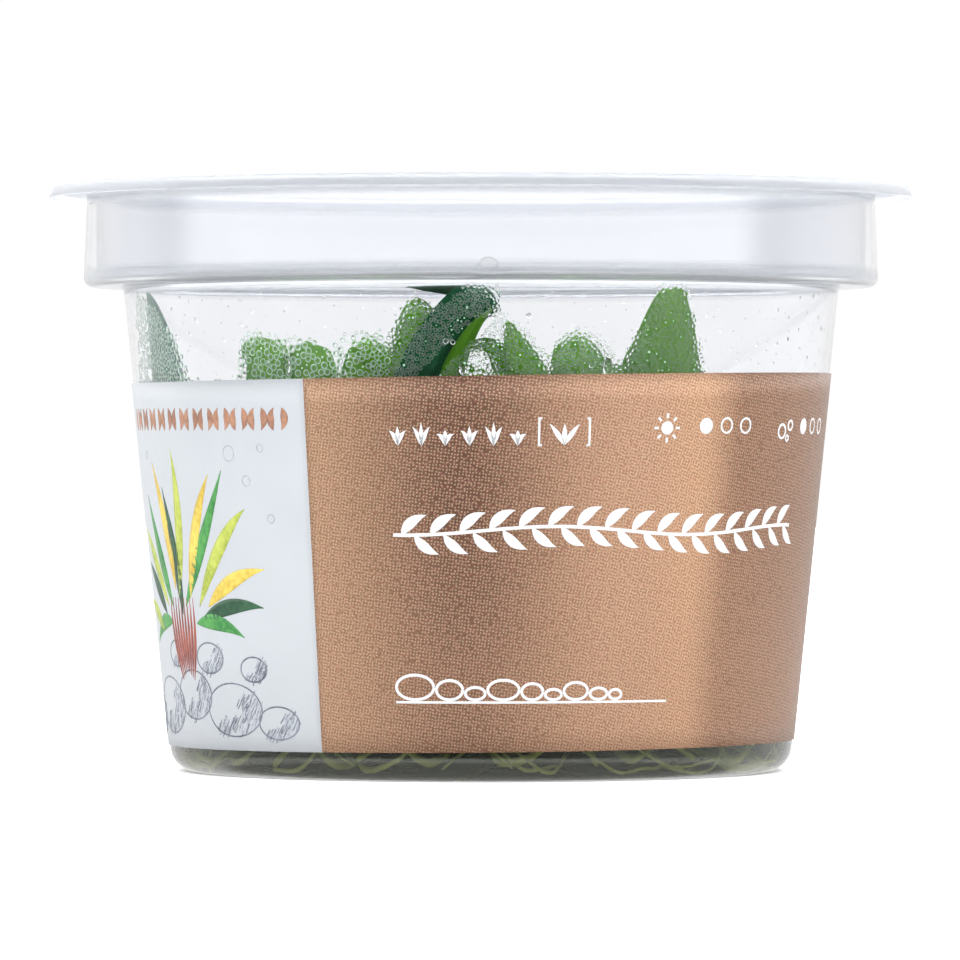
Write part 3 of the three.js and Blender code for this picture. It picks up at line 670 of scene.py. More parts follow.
def leaf_body(row, seed):
    """A leaf's points and faces, and where each point lies on the blade."""
    line = curve_through(row["route"])
    length = np.linalg.norm(np.diff(line, axis=0), axis=1).sum()
    stalk = 1 - row["blade"] / length
    t = np.concatenate([np.linspace(0, stalk, 12, endpoint=False),
                        stalk + (1 - stalk) * np.linspace(0, 1, 46)])
    s = np.clip((t - stalk) / (1 - stalk), 0, 1)
    at, direction, _ = along(line, t)
    low, high = (np.array(row[key], float) for key in ("across", "across_tip"))
    across = low + (high - low) * t[:, None]
    width = unit(across - direction * np.einsum("ij,ij->i", across, direction)[:, None])
    upper = np.cross(width, direction)

    peak = BLADE_SWELL / (BLADE_SWELL + BLADE_POINT)
    widest = peak**BLADE_SWELL * (1 - peak)**BLADE_POINT
    spread = row["half"] * s**BLADE_SWELL * (1 - s)**BLADE_POINT / widest
    half = np.maximum(PETIOLE_R + (0.06 - PETIOLE_R) * s, spread)
    thin = smoothstep(s, 0, 0.25)
    thick = (PETIOLE_R + (BLADE_T * 0.36 - PETIOLE_R) * thin) * (1 - 0.6 * s**4)
    sheath = 0.45 * np.exp(-t * length / 2.2)
    half, thick = half + sheath, thick + 0.5 * sheath

    a = np.arange(32) * TURN / 32
    u, side = np.cos(a), np.sin(a)
    draw = np.random.default_rng(seed)
    waves, phase = draw.uniform(1.6, 2.6), draw.uniform(0, TURN, 2)
    edge = np.sin(waves * TURN * s[:, None] + phase[(u > 0).astype(int)]) * u**2
    lift = (row["fold"] * np.abs(u) + BLADE_CUP * u**2) * thin[:, None] * half[:, None]
    lift = lift + 0.05 * half[:, None] * edge * np.sin(math.pi * s)[:, None]
    rib = np.exp(-(u / 0.12)**2) * thin[:, None] * (1 - 0.7 * s[:, None])
    body = side * thick[:, None] - 0.30 * rib * (side < 0) - 0.10 * rib * (side > 0)
    rings = (at[:, None] + width[:, None] * (u * half[:, None])[..., None]
             + upper[:, None] * (body + lift)[..., None])
    foot = rings[:1] - [0, 0, 1.4]
    rings = np.concatenate([foot, rings])
    s = np.concatenate([[0], s])
    place = np.stack([np.broadcast_to(u, rings.shape[:2]), np.broadcast_to(s[:, None], rings.shape[:2]),
                      np.broadcast_to(side, rings.shape[:2])], -1).reshape(-1, 3)
    return shell(rings), np.concatenate([place, [[0, 0, 0], [0, 1, 0]]])


leaf_kinds = {
    "deep": leaf_material("leaf_deep", "044c30", "14703c", "4c9870", "247c4c", "388030"),
    "green": leaf_material("leaf_green", "36a058", "98d038", "bce07c", "84c450", "bcdc20"),
    "bright": leaf_material("leaf_bright", "3c9810", "68b418", "9cd044", "74b830", "8cc810"),
    "soft": leaf_material("leaf_soft", "3c7c70", "5c9c8c", "90bca8", "6ca494", "70ac8c"),
}
KIND_OF_LEAF = {1: "soft", 4: "green", 5: "bright", 6: "bright", 7: "deep", 8: "bright", 11: "bright",
                20: "bright", 22: "bright"}

for i, (name, row) in enumerate(LEAVES.items(), 1):
    body, place = leaf_body(row, 100 + i)
    kind = KIND_OF_LEAF.get(i, "green")
    piece("plant_" + name, [body], leaf_kinds[kind], [name], ("blade", place))


# Creeping stems and roots


def stem_body(ends, seed):
    """A creeping stem with the rings of old leaves round it, blunt at both ends."""
    (x0, y0), (x1, y1) = ends
    t = np.concatenate([[0.0, 0.01, 0.03], np.linspace(0.06, 0.94, 60), [0.97, 0.99, 1.0]])
    at = np.stack([x0 + (x1 - x0) * t, y0 + (y1 - y0) * t, RHIZOME_Z + 0 * t], -1)
    direction = unit(at[-1:] - at[:1])
    length = np.linalg.norm(at[-1] - at[0])
    bare = np.maximum(0.3, np.sin(math.pi * t)**0.4)
    scar = 1 - 0.13 * np.abs(np.cos(math.pi * t * length / 1.25))**9
    rings = circles(at, direction, RHIZOME_R * bare * scar, 28)
    rings = rings + 0.09 * wobble(rings.reshape(-1, 3), seed).reshape(rings.shape)
    return shell(rings)


def tapering(radius, end=0.6):
    return lambda t: radius * (1 - (1 - end) * t) * (1 + 0.05 * np.sin(23 * t))


def wall_run(angle, turn, seed, radius):
    """A fine root from a stem, down through the gel and then in low arches round the wall."""
    draw = np.random.default_rng(seed)
    stem = min(STEMS.values(), key=lambda row: abs(math.remainder(
        math.atan2(sum(p[0] for p in row["ends"]), -sum(p[1] for p in row["ends"])) - angle, TURN)))
    share = draw.uniform(0.2, 0.8)
    (x0, y0), (x1, y1) = stem["ends"]
    start = np.array([x0 + (x1 - x0) * share, y0 + (y1 - y0) * share, RHIZOME_Z - 0.6])
    near = WALL_ROOT_R - radius - draw.uniform(0, 1.2)
    points = [start]
    down = np.array([near * 0.86 * math.sin(angle), -near * 0.86 * math.cos(angle), draw.uniform(4.5, 7)])
    points.append(start * 0.45 + down * 0.55 + [0, 0, 1.0])
    points.append(down)
    heights = draw.permutation([draw.uniform(1.4, 2.2), draw.uniform(4.2, 6.6), draw.uniform(1.3, 2.6)])
    for i, z in enumerate(heights, 1):
        a = angle + turn * i / 3
        points.append([near * math.sin(a), -near * math.cos(a), z])
    return tube(points, tapering(radius, 0.45), 54, 8, 0.16, seed)


stem_skin = root_material("stem_skin", "5f7138", "9db05e")
root_skin = root_material("root_skin", "b4b47c", "dcdaac", 0.42)
for i, (name, row) in enumerate(STEMS.items(), 1):
    piece("creeping_" + name, [stem_body(row["ends"], 40 + i)], stem_skin, [name])
    bodies = [tube(points, tapering(ROOT_R), 64, 12, 0.1, 60 + 9 * i + j)
              for j, points in enumerate(row["roots"])]
    piece(f"roots_{i}", bodies, root_skin, [name])

draw = np.random.default_rng(7)
fine = []
for i in range(WALL_ROOTS):
    angle = TURN * (i + draw.uniform(-0.3, 0.3)) / WALL_ROOTS
    turn = draw.choice([-1, 1]) * draw.uniform(0.35, 0.75)
    fine.append(wall_run(angle, turn, 300 + i, draw.uniform(0.24, 0.42)))
piece("fine_roots", fine, root_skin)


# Gel


def gel_surface(rings):
    """Raises the gel's top along the wall, round the stems and in faint swells."""
    x, y, z = np.moveaxis(rings, -1, 0)
    r = np.hypot(x, y)
    on_top = smoothstep(z, GEL_TOP_Z - 0.6, GEL_TOP_Z - 0.05)
    rise = 0.9 * np.exp(-(inner_radius(GEL_TOP_Z) - r) / 0.9)
    for row in STEMS.values():
        a, b = (np.array(p, float) for p in row["ends"])
        share = np.clip(((x - a[0]) * (b - a)[0] + (y - a[1]) * (b - a)[1]) / ((b - a) @ (b - a)), 0, 1)
        away = np.hypot(x - a[0] - share * (b - a)[0], y - a[1] - share * (b - a)[1])
        rise = rise + 0.95 * np.exp(-(away / 2.6)**2)
    swell = 0.12 * np.sin(x / 3.1 + 1.2 * np.sin(y / 4.3)) + 0.1 * np.sin(y / 2.6 + np.sin(x / 5.0))
    rings[..., 2] = z + on_top * (rise + swell)
    return rings


# The gel reaches a little way into the cup, so that no air shows between them
GEL_OVERLAP = 0.05
gel_foot_r = inner_radius(WALL) + GEL_OVERLAP
gel_top_r = inner_radius(GEL_TOP_Z) + GEL_OVERLAP
gel_foot_z = WALL - GEL_OVERLAP
outer = filleted([(0, gel_foot_z, 0), (gel_foot_r, gel_foot_z, 2.4), (gel_top_r, GEL_TOP_Z, 0.3),
                  (34, GEL_TOP_Z, 0)], 6)
inward = np.stack([np.concatenate([np.linspace(33.5, 0.4, 60), [0]]), np.full(61, GEL_TOP_Z)], -1)
gel = turned(np.concatenate([outer, inward]), 160, gel_surface)
piece("gel_bed", [gel], gel_material(), ["culture_gel"])


# Cup and lid

foot_r = body_radius(0)
shoulder_r = body_radius(SHOULDER_Z)
low, high = CUP_FLANGE_Z
cup_profile = filleted([
    (0, 0, 0), (foot_r, 0, BASE_CORNER_R), (shoulder_r, SHOULDER_Z, 0.7), (COLLAR_R_LOW, SHOULDER_Z, 1.1),
    (COLLAR_R_HIGH, low, 0.3), (CUP_FLANGE_R, low, 0.15), (CUP_FLANGE_R, high, 0.15),
    (COLLAR_R_HIGH - WALL, high, 0.6), (COLLAR_R_LOW - WALL, SHOULDER_Z + WALL, 0.5),
    (inner_radius(SHOULDER_Z + WALL), SHOULDER_Z + WALL, 0.25),
    (inner_radius(WALL), WALL, 2.4), (0, WALL, 0)])
piece("clear_cup", [turned(cup_profile)], clear_plastic("cup_plastic", 0.0, 0.995), ["cup"])

low, high = LID_FLANGE_Z
floor_low, floor_high = LID_FLOOR_Z
lid_profile = filleted([
    (0, floor_low, 0), (LID_R, floor_low, 0.9), (LID_R, low, 0.3), (SKIRT_R_HIGH - SKIRT_T, low, 0.3),
    (SKIRT_R_LOW - SKIRT_T, SKIRT_LOW_Z, 0.12), (SKIRT_R_LOW, SKIRT_LOW_Z, 0.12), (SKIRT_R_HIGH, high, 0.5),
    (LID_R - WALL, high, 0.6), (LID_R - WALL, floor_high, 0.5), (0, floor_high, 0)])
piece("clear_lid", [turned(lid_profile)], clear_plastic("lid_plastic", 3.0, 0.94), ["lid"])


# Label


def on_label(s, z, lift):
    """Points on the label from distances s round it and heights z."""
    r = body_radius(z) + lift
    return np.stack([r * np.sin(s / LABEL_R), -r * np.cos(s / LABEL_R), z], -1)


def label_panel(start, end):
    """A strip of the label between two angles, and each point's place on the flat sheet."""
    columns = max(2, round(abs(end - start) / math.radians(1.5)))
    angle = np.linspace(start, end, columns + 1)[:, None]
    share = np.linspace(0, 1, 15)
    across = np.sin(angle) * LABEL_R
    bottom = LABEL_BOTTOM_Z + LABEL_TILT_BOTTOM * across
    top = LABEL_TOP_Z + LABEL_TILT_TOP * across
    z = bottom + (top - bottom) * np.concatenate([share, share[::-1]])
    lift = np.concatenate([np.full(15, LABEL_LIFT[1]), np.full(15, LABEL_LIFT[0])])
    s = LABEL_R * angle + 0 * z
    body = shell(on_label(s, z, lift))
    flat = np.stack([s, z, 0 * z], -1).reshape(-1, 3)
    ends = [[LABEL_R * start, 25, 0], [LABEL_R * end, 25, 0]]
    return body, np.concatenate([flat, ends])


body, flat = label_panel(-LABEL_END, LABEL_BORDER)
piece("label_panel_white", [body], white_label(), ["label"], ("sheet", flat))
body, flat = label_panel(LABEL_BORDER, LABEL_END)
piece("label_panel_copper", [body], copper_label(), ["label"], ("sheet", flat))


def ribbon(points, half, lift=PRINT_LIFT):
    """A printed stroke on the label through points of (s, z), with its half-width along it."""
    points = np.asarray(points, float)
    half = np.broadcast_to(half, len(points))[:, None]
    way = unit(np.gradient(points, axis=0))
    across = np.stack([-way[:, 1], way[:, 0]], -1)
    w = np.array([-1, -1, -0.5, 0, 0.5, 1, 1])
    up = LABEL_LIFT[1] + np.array([-0.03, lift, lift, lift, lift, lift, -0.03])
    flat = points[:, None] + across[:, None] * (half * w)[..., None]
    return shell(on_label(flat[..., 0], flat[..., 1], up))


def disc(s, z, radius):
    a = np.linspace(0.02, math.pi - 0.02, 15)
    return ribbon(np.stack([s - radius * np.cos(a), z + 0 * a], -1), radius * np.sin(a))


def hoop(s, z, radius, half, squash=1.0):
    a = np.linspace(0, TURN * 0.999, 33)
    return ribbon(np.stack([s + radius * np.cos(a), z + squash * radius * np.sin(a)], -1), half)


def blade(start, mid, end, half, lift=PRINT_LIFT):
    """A printed leaf along a bent line from its foot to its tip."""
    t = np.linspace(0, 1, 17)[:, None]
    a, b, c = (np.array(p, float) for p in (start, mid, end))
    bent = (1 - t)**2 * a + 2 * t * (1 - t) * b + t**2 * c
    return ribbon(bent, np.maximum(0.04, half * np.sin(math.pi * t[:, 0]**0.8)), lift)


white = ink("print_white", "b9babb", "c6c6c6")
marks = []
for tuft in range(6):
    s = -9.4 + 2.7 * tuft
    tall = 2.2 + 0.5 * math.sin(2.1 * tuft)
    marks += [blade((s, 38.9), (s + lean * 0.3, 40.2), (s + lean, 38.9 + tall - 0.5 * abs(lean)), 0.26)
              for lean in (-0.95, 0, 0.95)]
marks += [ribbon([(6.5, z), (12.3, z)], 0.13) for z in (38.95, 42.05)]
marks += [ribbon([(s, 38.85), (s, 42.15)], 0.13) for s in (6.5, 12.3)]
marks += [blade((9.4, 39.0), (9.4 + 0.5 * lean, 40.4), (9.4 + lean, 41.4), 0.3) for lean in (-1.7, 0, 1.7)]
SUN = (21.9, 40.95)
SUN_RAYS = 8
marks.append(disc(*SUN, 0.78))
for i in range(SUN_RAYS):
    a = TURN * i / SUN_RAYS
    ray = [(SUN[0] + d * math.cos(a), SUN[1] + d * math.sin(a)) for d in (1.12, 1.4, 1.7)]
    marks.append(ribbon(ray, 0.14))
marks += [hoop(41.0, 40.6, 0.8, 0.14), hoop(42.9, 41.3, 0.55, 0.14), hoop(42.3, 39.8, 0.32, 0.12)]
for first in (27.35, 46.6):
    marks.append(disc(first, 41.2, 0.95))
    marks += [hoop(first + 3.15 * i, 41.25, 0.85, 0.12) for i in (1, 2)]
SPRIG_Z = 29.1
sprig = np.linspace(-10.2, 45, 80)
marks.append(ribbon(np.stack([sprig, SPRIG_Z + 0.5 * np.sin(sprig / 5.5)], -1), 0.2))
for i in range(16):
    s = -9.2 + 3.4 * i
    z = SPRIG_Z + 0.5 * math.sin(s / 5.5)
    marks.append(blade((s, z), (s + 1.0, z + 1.9), (s + 2.9, z + 2.3), 0.62))
    marks.append(blade((s + 1.5, z), (s + 2.6, z - 1.8), (s + 4.3, z - 2.2), 0.58))
marks.append(ribbon([(-10.4 + 0.7 * i, 9.3) for i in range(50)], 0.14))
for i, (size, flatness) in enumerate([(2.3, 0.62), (1.6, 0.7), (1.2, 0.6), (1.9, 0.6), (1.3, 0.72),
                                      (1.0, 0.6), (1.5, 0.66), (1.1, 0.6), (0.8, 0.7)]):
    s = (-8.0, -3.8, -0.7, 2.7, 6.2, 8.8, 11.6, 14.5, 16.7)[i]
    marks.append(hoop(s, 9.6 + size * flatness, size, 0.17, flatness))
piece("print_marks", marks, white)

draw = np.random.default_rng(11)
heading = []
for i in range(12):
    s = -56.2 + 2.85 * i
    heading.append(blade((s, 40.7), (s - 0.7, 42.2), (s + 0.2, 43.3), 0.5))
    heading.append(blade((s + 1.3, 43.3), (s + 2.0, 41.8), (s + 1.1, 40.7), 0.5))
piece("print_heading", heading, ink("print_copper", "7a5544", "9c7258"))

GRASS = {
    "print_yellow": ("a88c2c", "c2ae4c", [(-46, 22, -47, 30, -50.5, 37), (-42, 21, -40, 30, -36, 35.5),
                                          (-38, 20, -33, 24, -27.5, 24.5)]),
    "print_lime": ("7c8a2a", "a4ac4a", [(-45, 21, -42.5, 31, -44, 38.5), (-49, 20, -54, 27, -58, 29),
                                        (-40, 20, -34, 29, -30, 31.5), (-52, 17, -56, 20, -60, 20.5)]),
    "print_green": ("1f6430", "45883f", [(-47.5, 20, -50.5, 26, -54, 33), (-43.5, 20, -38, 27, -33.5, 36),
                                         (-41, 18, -36, 19, -31.5, 16.5), (-48, 18, -52, 19, -56.5, 15.5)]),
    "print_dark_green": ("113522", "2a5236", [(-44.5, 19, -44.8, 26, -47.6, 34),
                                              (-50, 19, -53.5, 23, -57.5, 25),
                                              (-39.5, 18.5, -33, 21, -28, 20)]),
}
for name, (dark, light, blades) in GRASS.items():
    bodies = [blade((a, b), (c, d), (e, f), 0.95) for a, b, c, d, e, f in blades]
    piece(name, bodies, ink(name, dark, light))
bodies = [blade((-44.5 + 0.4 * i, 12.5 - 0.3 * abs(i)), (-45 + 0.9 * i, 16), (-44.8 + 0.8 * i, 21),
                0.28, 0.03)
          for i in range(-4, 5)]
piece("print_red", bodies, ink("print_red", "6a2a20", "964a36"))

STONES = [(-52, 8.2, 5.4, 0.62), (-43.4, 9.6, 4.4, 0.66), (-34.6, 8.0, 5.2, 0.6), (-26.8, 6.6, 3.2, 0.6),
          (-47.6, 14.4, 2.6, 0.6), (-38.8, 14.0, 2.9, 0.62), (-59.6, 7.0, 3.4, 0.64),
          (-30.4, 12.8, 2.2, 0.66)]
strokes, shades = [], []
for s, z, size, flatness in STONES:
    strokes.append(hoop(s, z, size, 0.09, flatness))
    for _ in range(int(26 * size)):
        a, d = draw.uniform(-1.2, 2.2), math.sqrt(draw.uniform(0.1, 0.98))
        x, y = s + size * d * math.cos(a - 1.2), z + size * flatness * d * math.sin(a - 1.2)
        reach = draw.uniform(0.25, 0.6)
        lean = draw.uniform(0.5, 0.9)
        stroke = [(x - reach * lean, y - reach), (x, y), (x + reach * lean, y + reach)]
        kind = strokes if draw.uniform() < 0.45 else shades
        kind.append(ribbon(stroke, draw.uniform(0.03, 0.07), 0.016))
for s, z, size in [(-32, 38, 0.9), (-29.4, 34.8, 0.6), (-27, 38.6, 0.45), (-52.4, 37.8, 0.5),
                   (-26, 30.4, 0.5)]:
    shades.append(hoop(s, z, size, 0.06))
piece("print_pencil_dark", strokes, ink("print_pencil_dark", "484c57", "70747e"))
piece("print_pencil_light", shades, ink("print_pencil_light", "80858e", "9ca1a8"))


# Water: condensation on the inner wall and under the lid, and a drop held at the shoulder


SKIRT_DEPTH = 0.03


def caps(centres, inward, radii, tangents, sides, layers, angle_deg, sag):
    """Drops on a surface: domes with a short skirt that reaches into it. Each is one closed body."""
    n = len(centres)
    alpha = np.radians(angle_deg) * np.ones(n)
    polar = alpha[:, None] * np.concatenate([[1, 1, 1, 0.95], np.linspace(0.72, 0.22, layers - 1)])
    sphere = radii / np.sin(alpha)
    a = np.arange(sides) * TURN / sides
    reach = np.sin(polar) * sphere[:, None]
    reach[:, 0] *= 0.97
    height = (np.cos(polar) - np.cos(alpha)[:, None]) * sphere[:, None]
    other = np.cross(inward, tangents)
    x = np.cos(a) * reach[..., None]
    y = np.sin(a) * reach[..., None] * sag[:, None, None]
    z = height[..., None] + 0 * x
    z[:, :2] -= SKIRT_DEPTH
    rings = (centres[:, None, None] + x[..., None] * tangents[:, None, None]
             + y[..., None] * other[:, None, None] + z[..., None] * inward[:, None, None])
    low = centres - SKIRT_DEPTH * inward
    top = centres + inward * (sphere * (1 - np.cos(alpha)))[:, None]
    points = np.concatenate([rings.reshape(n, -1, 3), low[:, None], top[:, None]], 1)
    _, one_quads, one_tris = shell(rings[0])
    per = points.shape[1]
    shift = (np.arange(n) * per)[:, None, None]
    quads = (one_quads[None] + shift).reshape(-1, 4)
    tris = (one_tris[None] + shift).reshape(-1, 3)
    return points.reshape(-1, 3), quads, tris


def rims(count, sides, layers, mist):
    """How misty each point of the drops is: most at the rim, clear in the middle."""
    rings = np.repeat([0.0, 0.0, 1.0, 1.0, 0.85] + [0.0] * (layers - 2), sides)
    one = np.concatenate([rings, [0.0, 0.0]]) * mist
    return np.stack([np.tile(one, count)] + [np.zeros(count * len(one))] * 2, -1)


def packed(width, height, spacing, tries, seed):
    """Random places in a rectangle that keep a distance that may change from place to place."""
    draw = np.random.default_rng(seed)
    places = np.stack([draw.uniform(0, width, tries), draw.uniform(0, height, tries)], -1)
    room = spacing(places[:, 0], places[:, 1])
    cell = float(room.max())
    kept, grid = [], {}
    for (x, y), gap in zip(places.tolist(), room.tolist()):
        i, j = int(x / cell), int(y / cell)
        close = (k for di in (-1, 0, 1) for dj in (-1, 0, 1) for k in grid.get((i + di, j + dj), ()))
        if all((kept[k][0] - x)**2 + (kept[k][1] - y)**2 > gap * min(gap, kept[k][2]) for k in close):
            grid.setdefault((i, j), []).append(len(kept))
            kept.append((x, y, gap))
    return np.array(kept)


def neighbours(places, count):
    """The nearest places of each place: their numbers and how far away they are."""
    tree = KDTree(len(places))
    for i, (x, y) in enumerate(places.tolist()):
        tree.insert((x, y, 0), i)
    tree.balance()
    found = [tree.find_n((x, y, 0), count + 1)[1:] for x, y in places.tolist()]
    numbers = np.array([[k for _, k, _ in row] for row in found])
    return numbers, np.array([[d for _, _, d in row] for row in found])


def evened(places, gap, rounds):
    """Places that push each other apart until they stand about evenly."""
    places = places.copy()
    for _ in range(rounds):
        near, away = neighbours(places, 6)
        push = np.clip(1.12 * gap[:, None] - away, 0, None) / np.maximum(away, 1e-6)
        places += 0.28 * ((places[:, None] - places[near]) * push[..., None]).sum(1)
    return places


def on_wall(s, z):
    """Points on the inner wall, their inward directions and their level directions."""
    a = s / WINDOW_R
    slope = math.atan(BODY_TAPER)
    r = inner_radius(z)
    out = np.stack([np.sin(a), -np.cos(a), 0 * a], -1)
    level = np.stack([np.cos(a), np.sin(a), 0 * a], -1)
    inward = -out * math.cos(slope) + np.array([0, 0, 1]) * math.sin(slope)
    return np.stack([r * np.sin(a), -r * np.cos(a), z], -1), inward, level


# The upper edge of the wet parts of the front window, as places across it and their heights
WET_EDGE = [
    (-40.4, 46), (-39.9, 57), (-37.6, 54.4), (-36, 52.2), (-34.8, 49), (-34, 46), (-28.6, 46),
    (-27.4, 51.3), (-26, 51.8), (-23.1, 50.9), (-20.2, 51), (-18.5, 50.1), (-17.5, 49.6), (-15.6, 51.1),
    (-14, 51.5), (-10.4, 51.5), (-9.6, 53.5), (-8.6, 54.9), (-7.4, 55.7), (-5.9, 54.8), (-4.1, 54.6),
    (-2.6, 56), (-1.6, 57.2), (2, 57), (2.3, 53.7), (4.5, 52.4), (7.3, 49.7), (8.2, 48.9),
    (8.8, 51), (11, 52.4), (12.9, 51.5), (14.8, 49.8), (16.2, 47.6), (17.2, 50.6), (18.4, 52.4),
    (19.6, 55), (20.4, 57.6), (23.2, 57.6), (24.2, 53.6), (25.4, 50), (26.2, 46), (41, 46)]
# How far apart the drops stand there
WET_GAP = [(-41, 0.66), (-34, 0.66), (-28, 0.66), (-18, 0.66), (-13, 0.6), (-9.6, 0.46), (-8, 0.38),
           (2, 0.38), (4, 0.44), (15, 0.42), (17, 0.42), (18.4, 0.46), (41, 0.46)]
FRINGE = 0.9
DRY_GAP = 2.3
# A strip without drops: a point on its middle line, its lean, its half width and where it ends
WIPED = (-5.6, 47.6, 1.02, 1.35, 53.6)


def table(pairs, x):
    return np.interp(x, [p[0] for p in pairs], [p[1] for p in pairs])


def on_window(places):
    return on_wall(places[:, 0] - WINDOW_WIDTH / 2, places[:, 1] + WINDOW_Z)


def across_window(s):
    return WINDOW_R * np.sin((s - WINDOW_WIDTH / 2) / WINDOW_R)


def above_edge(s, z):
    """How far a place lies above the wet part."""
    return z + WINDOW_Z - table(WET_EDGE, across_window(s))


def window_gap(s, z):
    """How far apart the drops stand: close in the wet parts, far apart above them and on a wiped strip."""
    aside = across_window(s) - WIPED[0] - (z + WINDOW_Z - WIPED[1]) * WIPED[2]
    wiped = (np.abs(aside) < WIPED[3]) & (z + WINDOW_Z < WIPED[4])
    close = (above_edge(s, z) < FRINGE) & ~wiped
    return np.where(close, table(WET_GAP, across_window(s)), DRY_GAP)


water = water_material("water", False)
places = packed(WINDOW_WIDTH, WINDOW_HEIGHT, window_gap, 90000, 3)
draw = np.random.default_rng(5)
dry = places[:, 2] == DRY_GAP
wet, gap = places[~dry, :2], places[~dry, 2]
wet = evened(wet, gap, 8)
wet[:, 1] = np.clip(wet[:, 1], 0, WINDOW_HEIGHT)
_, away = neighbours(wet, 3)
radii = 0.51 * away.mean(1) * draw.uniform(0.94, 1.04, len(wet))
fade = np.clip(1 - above_edge(wet[:, 0], wet[:, 1]) / FRINGE, 0, 1)
radii *= 0.3 + 0.7 * np.minimum(1, fade * 1.1)
keep = draw.uniform(0, 1, len(wet)) < 0.1 + 1.2 * fade
wet, radii, gap = wet[keep], radii[keep], gap[keep]
at, inward, level = on_window(wet)
sag = draw.uniform(0.95, 1.08, len(wet))
right = across_window(wet[:, 0]) > 16.4
turn = np.degrees(np.abs(wet[:, 0] - WINDOW_WIDTH / 2) / WINDOW_R)
angles = np.where(right, 16.0, 36 - 0.42 * turn)
# Painted glints: a few small steep drops are made milky all over, so they show as white specks that stand in
# for glints
painted_glint = draw.uniform(0, 1, len(wet)) < np.where(right, 0.1, 0.08)
angles[painted_glint] = 66
radii[painted_glint] = np.minimum(0.5 * gap[painted_glint], draw.uniform(0.06, 0.15, painted_glint.sum()))
misty_water = water_material("misty_water", True)
for name, part, sides, layers, mist in [
        ("condensation_front", (gap > 0.5) & ~right & ~painted_glint, 12, 4, 0.66),
        ("condensation_fine", (gap <= 0.5) & ~right & ~painted_glint, 10, 3, 0.3),
        ("condensation_flat", right & ~painted_glint, 8, 3, 0.12), ("condensation_painted_glints", painted_glint, 8, 3, 0.95)]:
    drops = caps(at[part], inward[part], radii[part], level[part], sides, layers, angles[part], sag[part])
    misty = rims(part.sum(), sides, layers, mist)
    # These drops are milky all over: painted glints
    if name == "condensation_painted_glints":
        misty[:, 0] = mist
    piece(name, [drops], misty_water, (), ("rim", misty))
specks = places[dry]
at, inward, level = on_window(specks)
radii = draw.uniform(0.05, 0.12, len(specks))
drops = caps(at, inward, radii, level, 8, 2, 50, draw.uniform(0.9, 1.15, len(specks)))
piece("condensation_specks", [drops], water)


def sprinkled(name, surface, seed, smallest, largest, sides, angle_deg, sag):
    """Drops of random sizes on a surface, from its points, its inward and its level directions."""
    at, inward, level = surface
    draw = np.random.default_rng(seed)
    radii = draw.uniform(smallest, largest, len(at))
    drops = caps(at, inward, radii, level, sides, 2, angle_deg, draw.uniform(*sag, len(at)))
    piece(name, [drops], water)


places = packed(WINDOW_WIDTH, WINDOW_HEIGHT,
                lambda s, z: 2.2 + 0.5 * np.sin(s / 7) * np.sin(z / 3), 9000, 13)
surface = on_wall(places[:, 0] + 65.5, places[:, 1] + WINDOW_Z)
sprinkled("condensation_back", surface, 15, 0.1, 0.34, 8, 40, (0.9, 1.15))

places = packed(50, 33, lambda s, z: 1.1 + 0.5 * np.sin(s / 5) * np.sin(z / 4), 6000, 23)
surface = on_wall(places[:, 0] + WINDOW_R * math.pi - 25, places[:, 1] + 12.8)
sprinkled("condensation_back_window", surface, 25, 0.12, 0.42, 8, 62, (0.9, 1.2))

HALF_LID = 41
places = packed(2 * HALF_LID, 2 * HALF_LID, lambda s, z: 3.4 + 1.2 * np.sin(s / 6) * np.sin(z / 7), 9000, 33)
away = np.hypot(places[:, 0] - HALF_LID, places[:, 1] - HALF_LID)
places = places[(away < 40.4) & (places[:, 1] > 30)]
x, y = (places - [HALF_LID, HALF_LID, 0]).T[:2]
at = np.stack([x, y, np.full(len(places), LID_FLOOR_Z[0])], -1)
surface = at, np.tile([0.0, 0.0, -1.0], (len(at), 1)), np.tile([1.0, 0.0, 0.0], (len(at), 1))
sprinkled("condensation_lid", surface, 35, 0.15, 0.62, 10, 34, (0.85, 1.15))

# Runs and large drops: the distance across the window, the height, the radius and the sag
RUNS = [(-22.4, 48.2, 0.62, 1.9), (-2.1, 47.7, 0.42, 1.7), (14.5, 47.9, 0.6, 1.9), (-4.0, 50.9, 0.34, 1.0),
        (-3.2, 50.8, 0.3, 1.0), (5.4, 53.8, 0.36, 1.0), (-24.6, 48.9, 0.4, 1.5), (12.6, 48.2, 0.3, 1.2)]
runs = np.array(RUNS)
s = WINDOW_R * np.arcsin(runs[:, 0] / 41.2)
at, inward, level = on_wall(s, runs[:, 1])
drops = caps(at, inward, runs[:, 2], level, 20, 6, 74, runs[:, 3])
piece("condensation_runs", [drops], water)


def shoulder_drop():
    """A drop held between the lid's wall and the collar, with a tail along the shoulder."""
    middle_r, foot_z = 46.58, 58.3
    t = np.linspace(0, 1, 60)
    a = -0.16 + t * 0.22
    drop = np.sqrt(np.clip(1 - ((a - 0.018) / 0.036)**2, 0, 1))
    tail = 0.16 * smoothstep(t, 0, 0.15) * (1 - smoothstep(a, 0.03, 0.06)) * (1 + 0.35 * np.sin(a * 260))
    size = np.maximum(drop, tail)
    b = np.arange(20) * TURN / 20
    rings = []
    for angle, share in zip(a, np.maximum(size, 0.02)):
        out = middle_r + 0.43 * min(1, share * 1.3) * np.cos(b)
        up = foot_z + 1.1 * share * (1 + np.sin(b))
        rings.append(np.stack([out * math.sin(angle), -out * math.cos(angle), up], -1))
    return shell(rings)


piece("shoulder_drop", [shoulder_drop()], water)


# Floor, light and camera


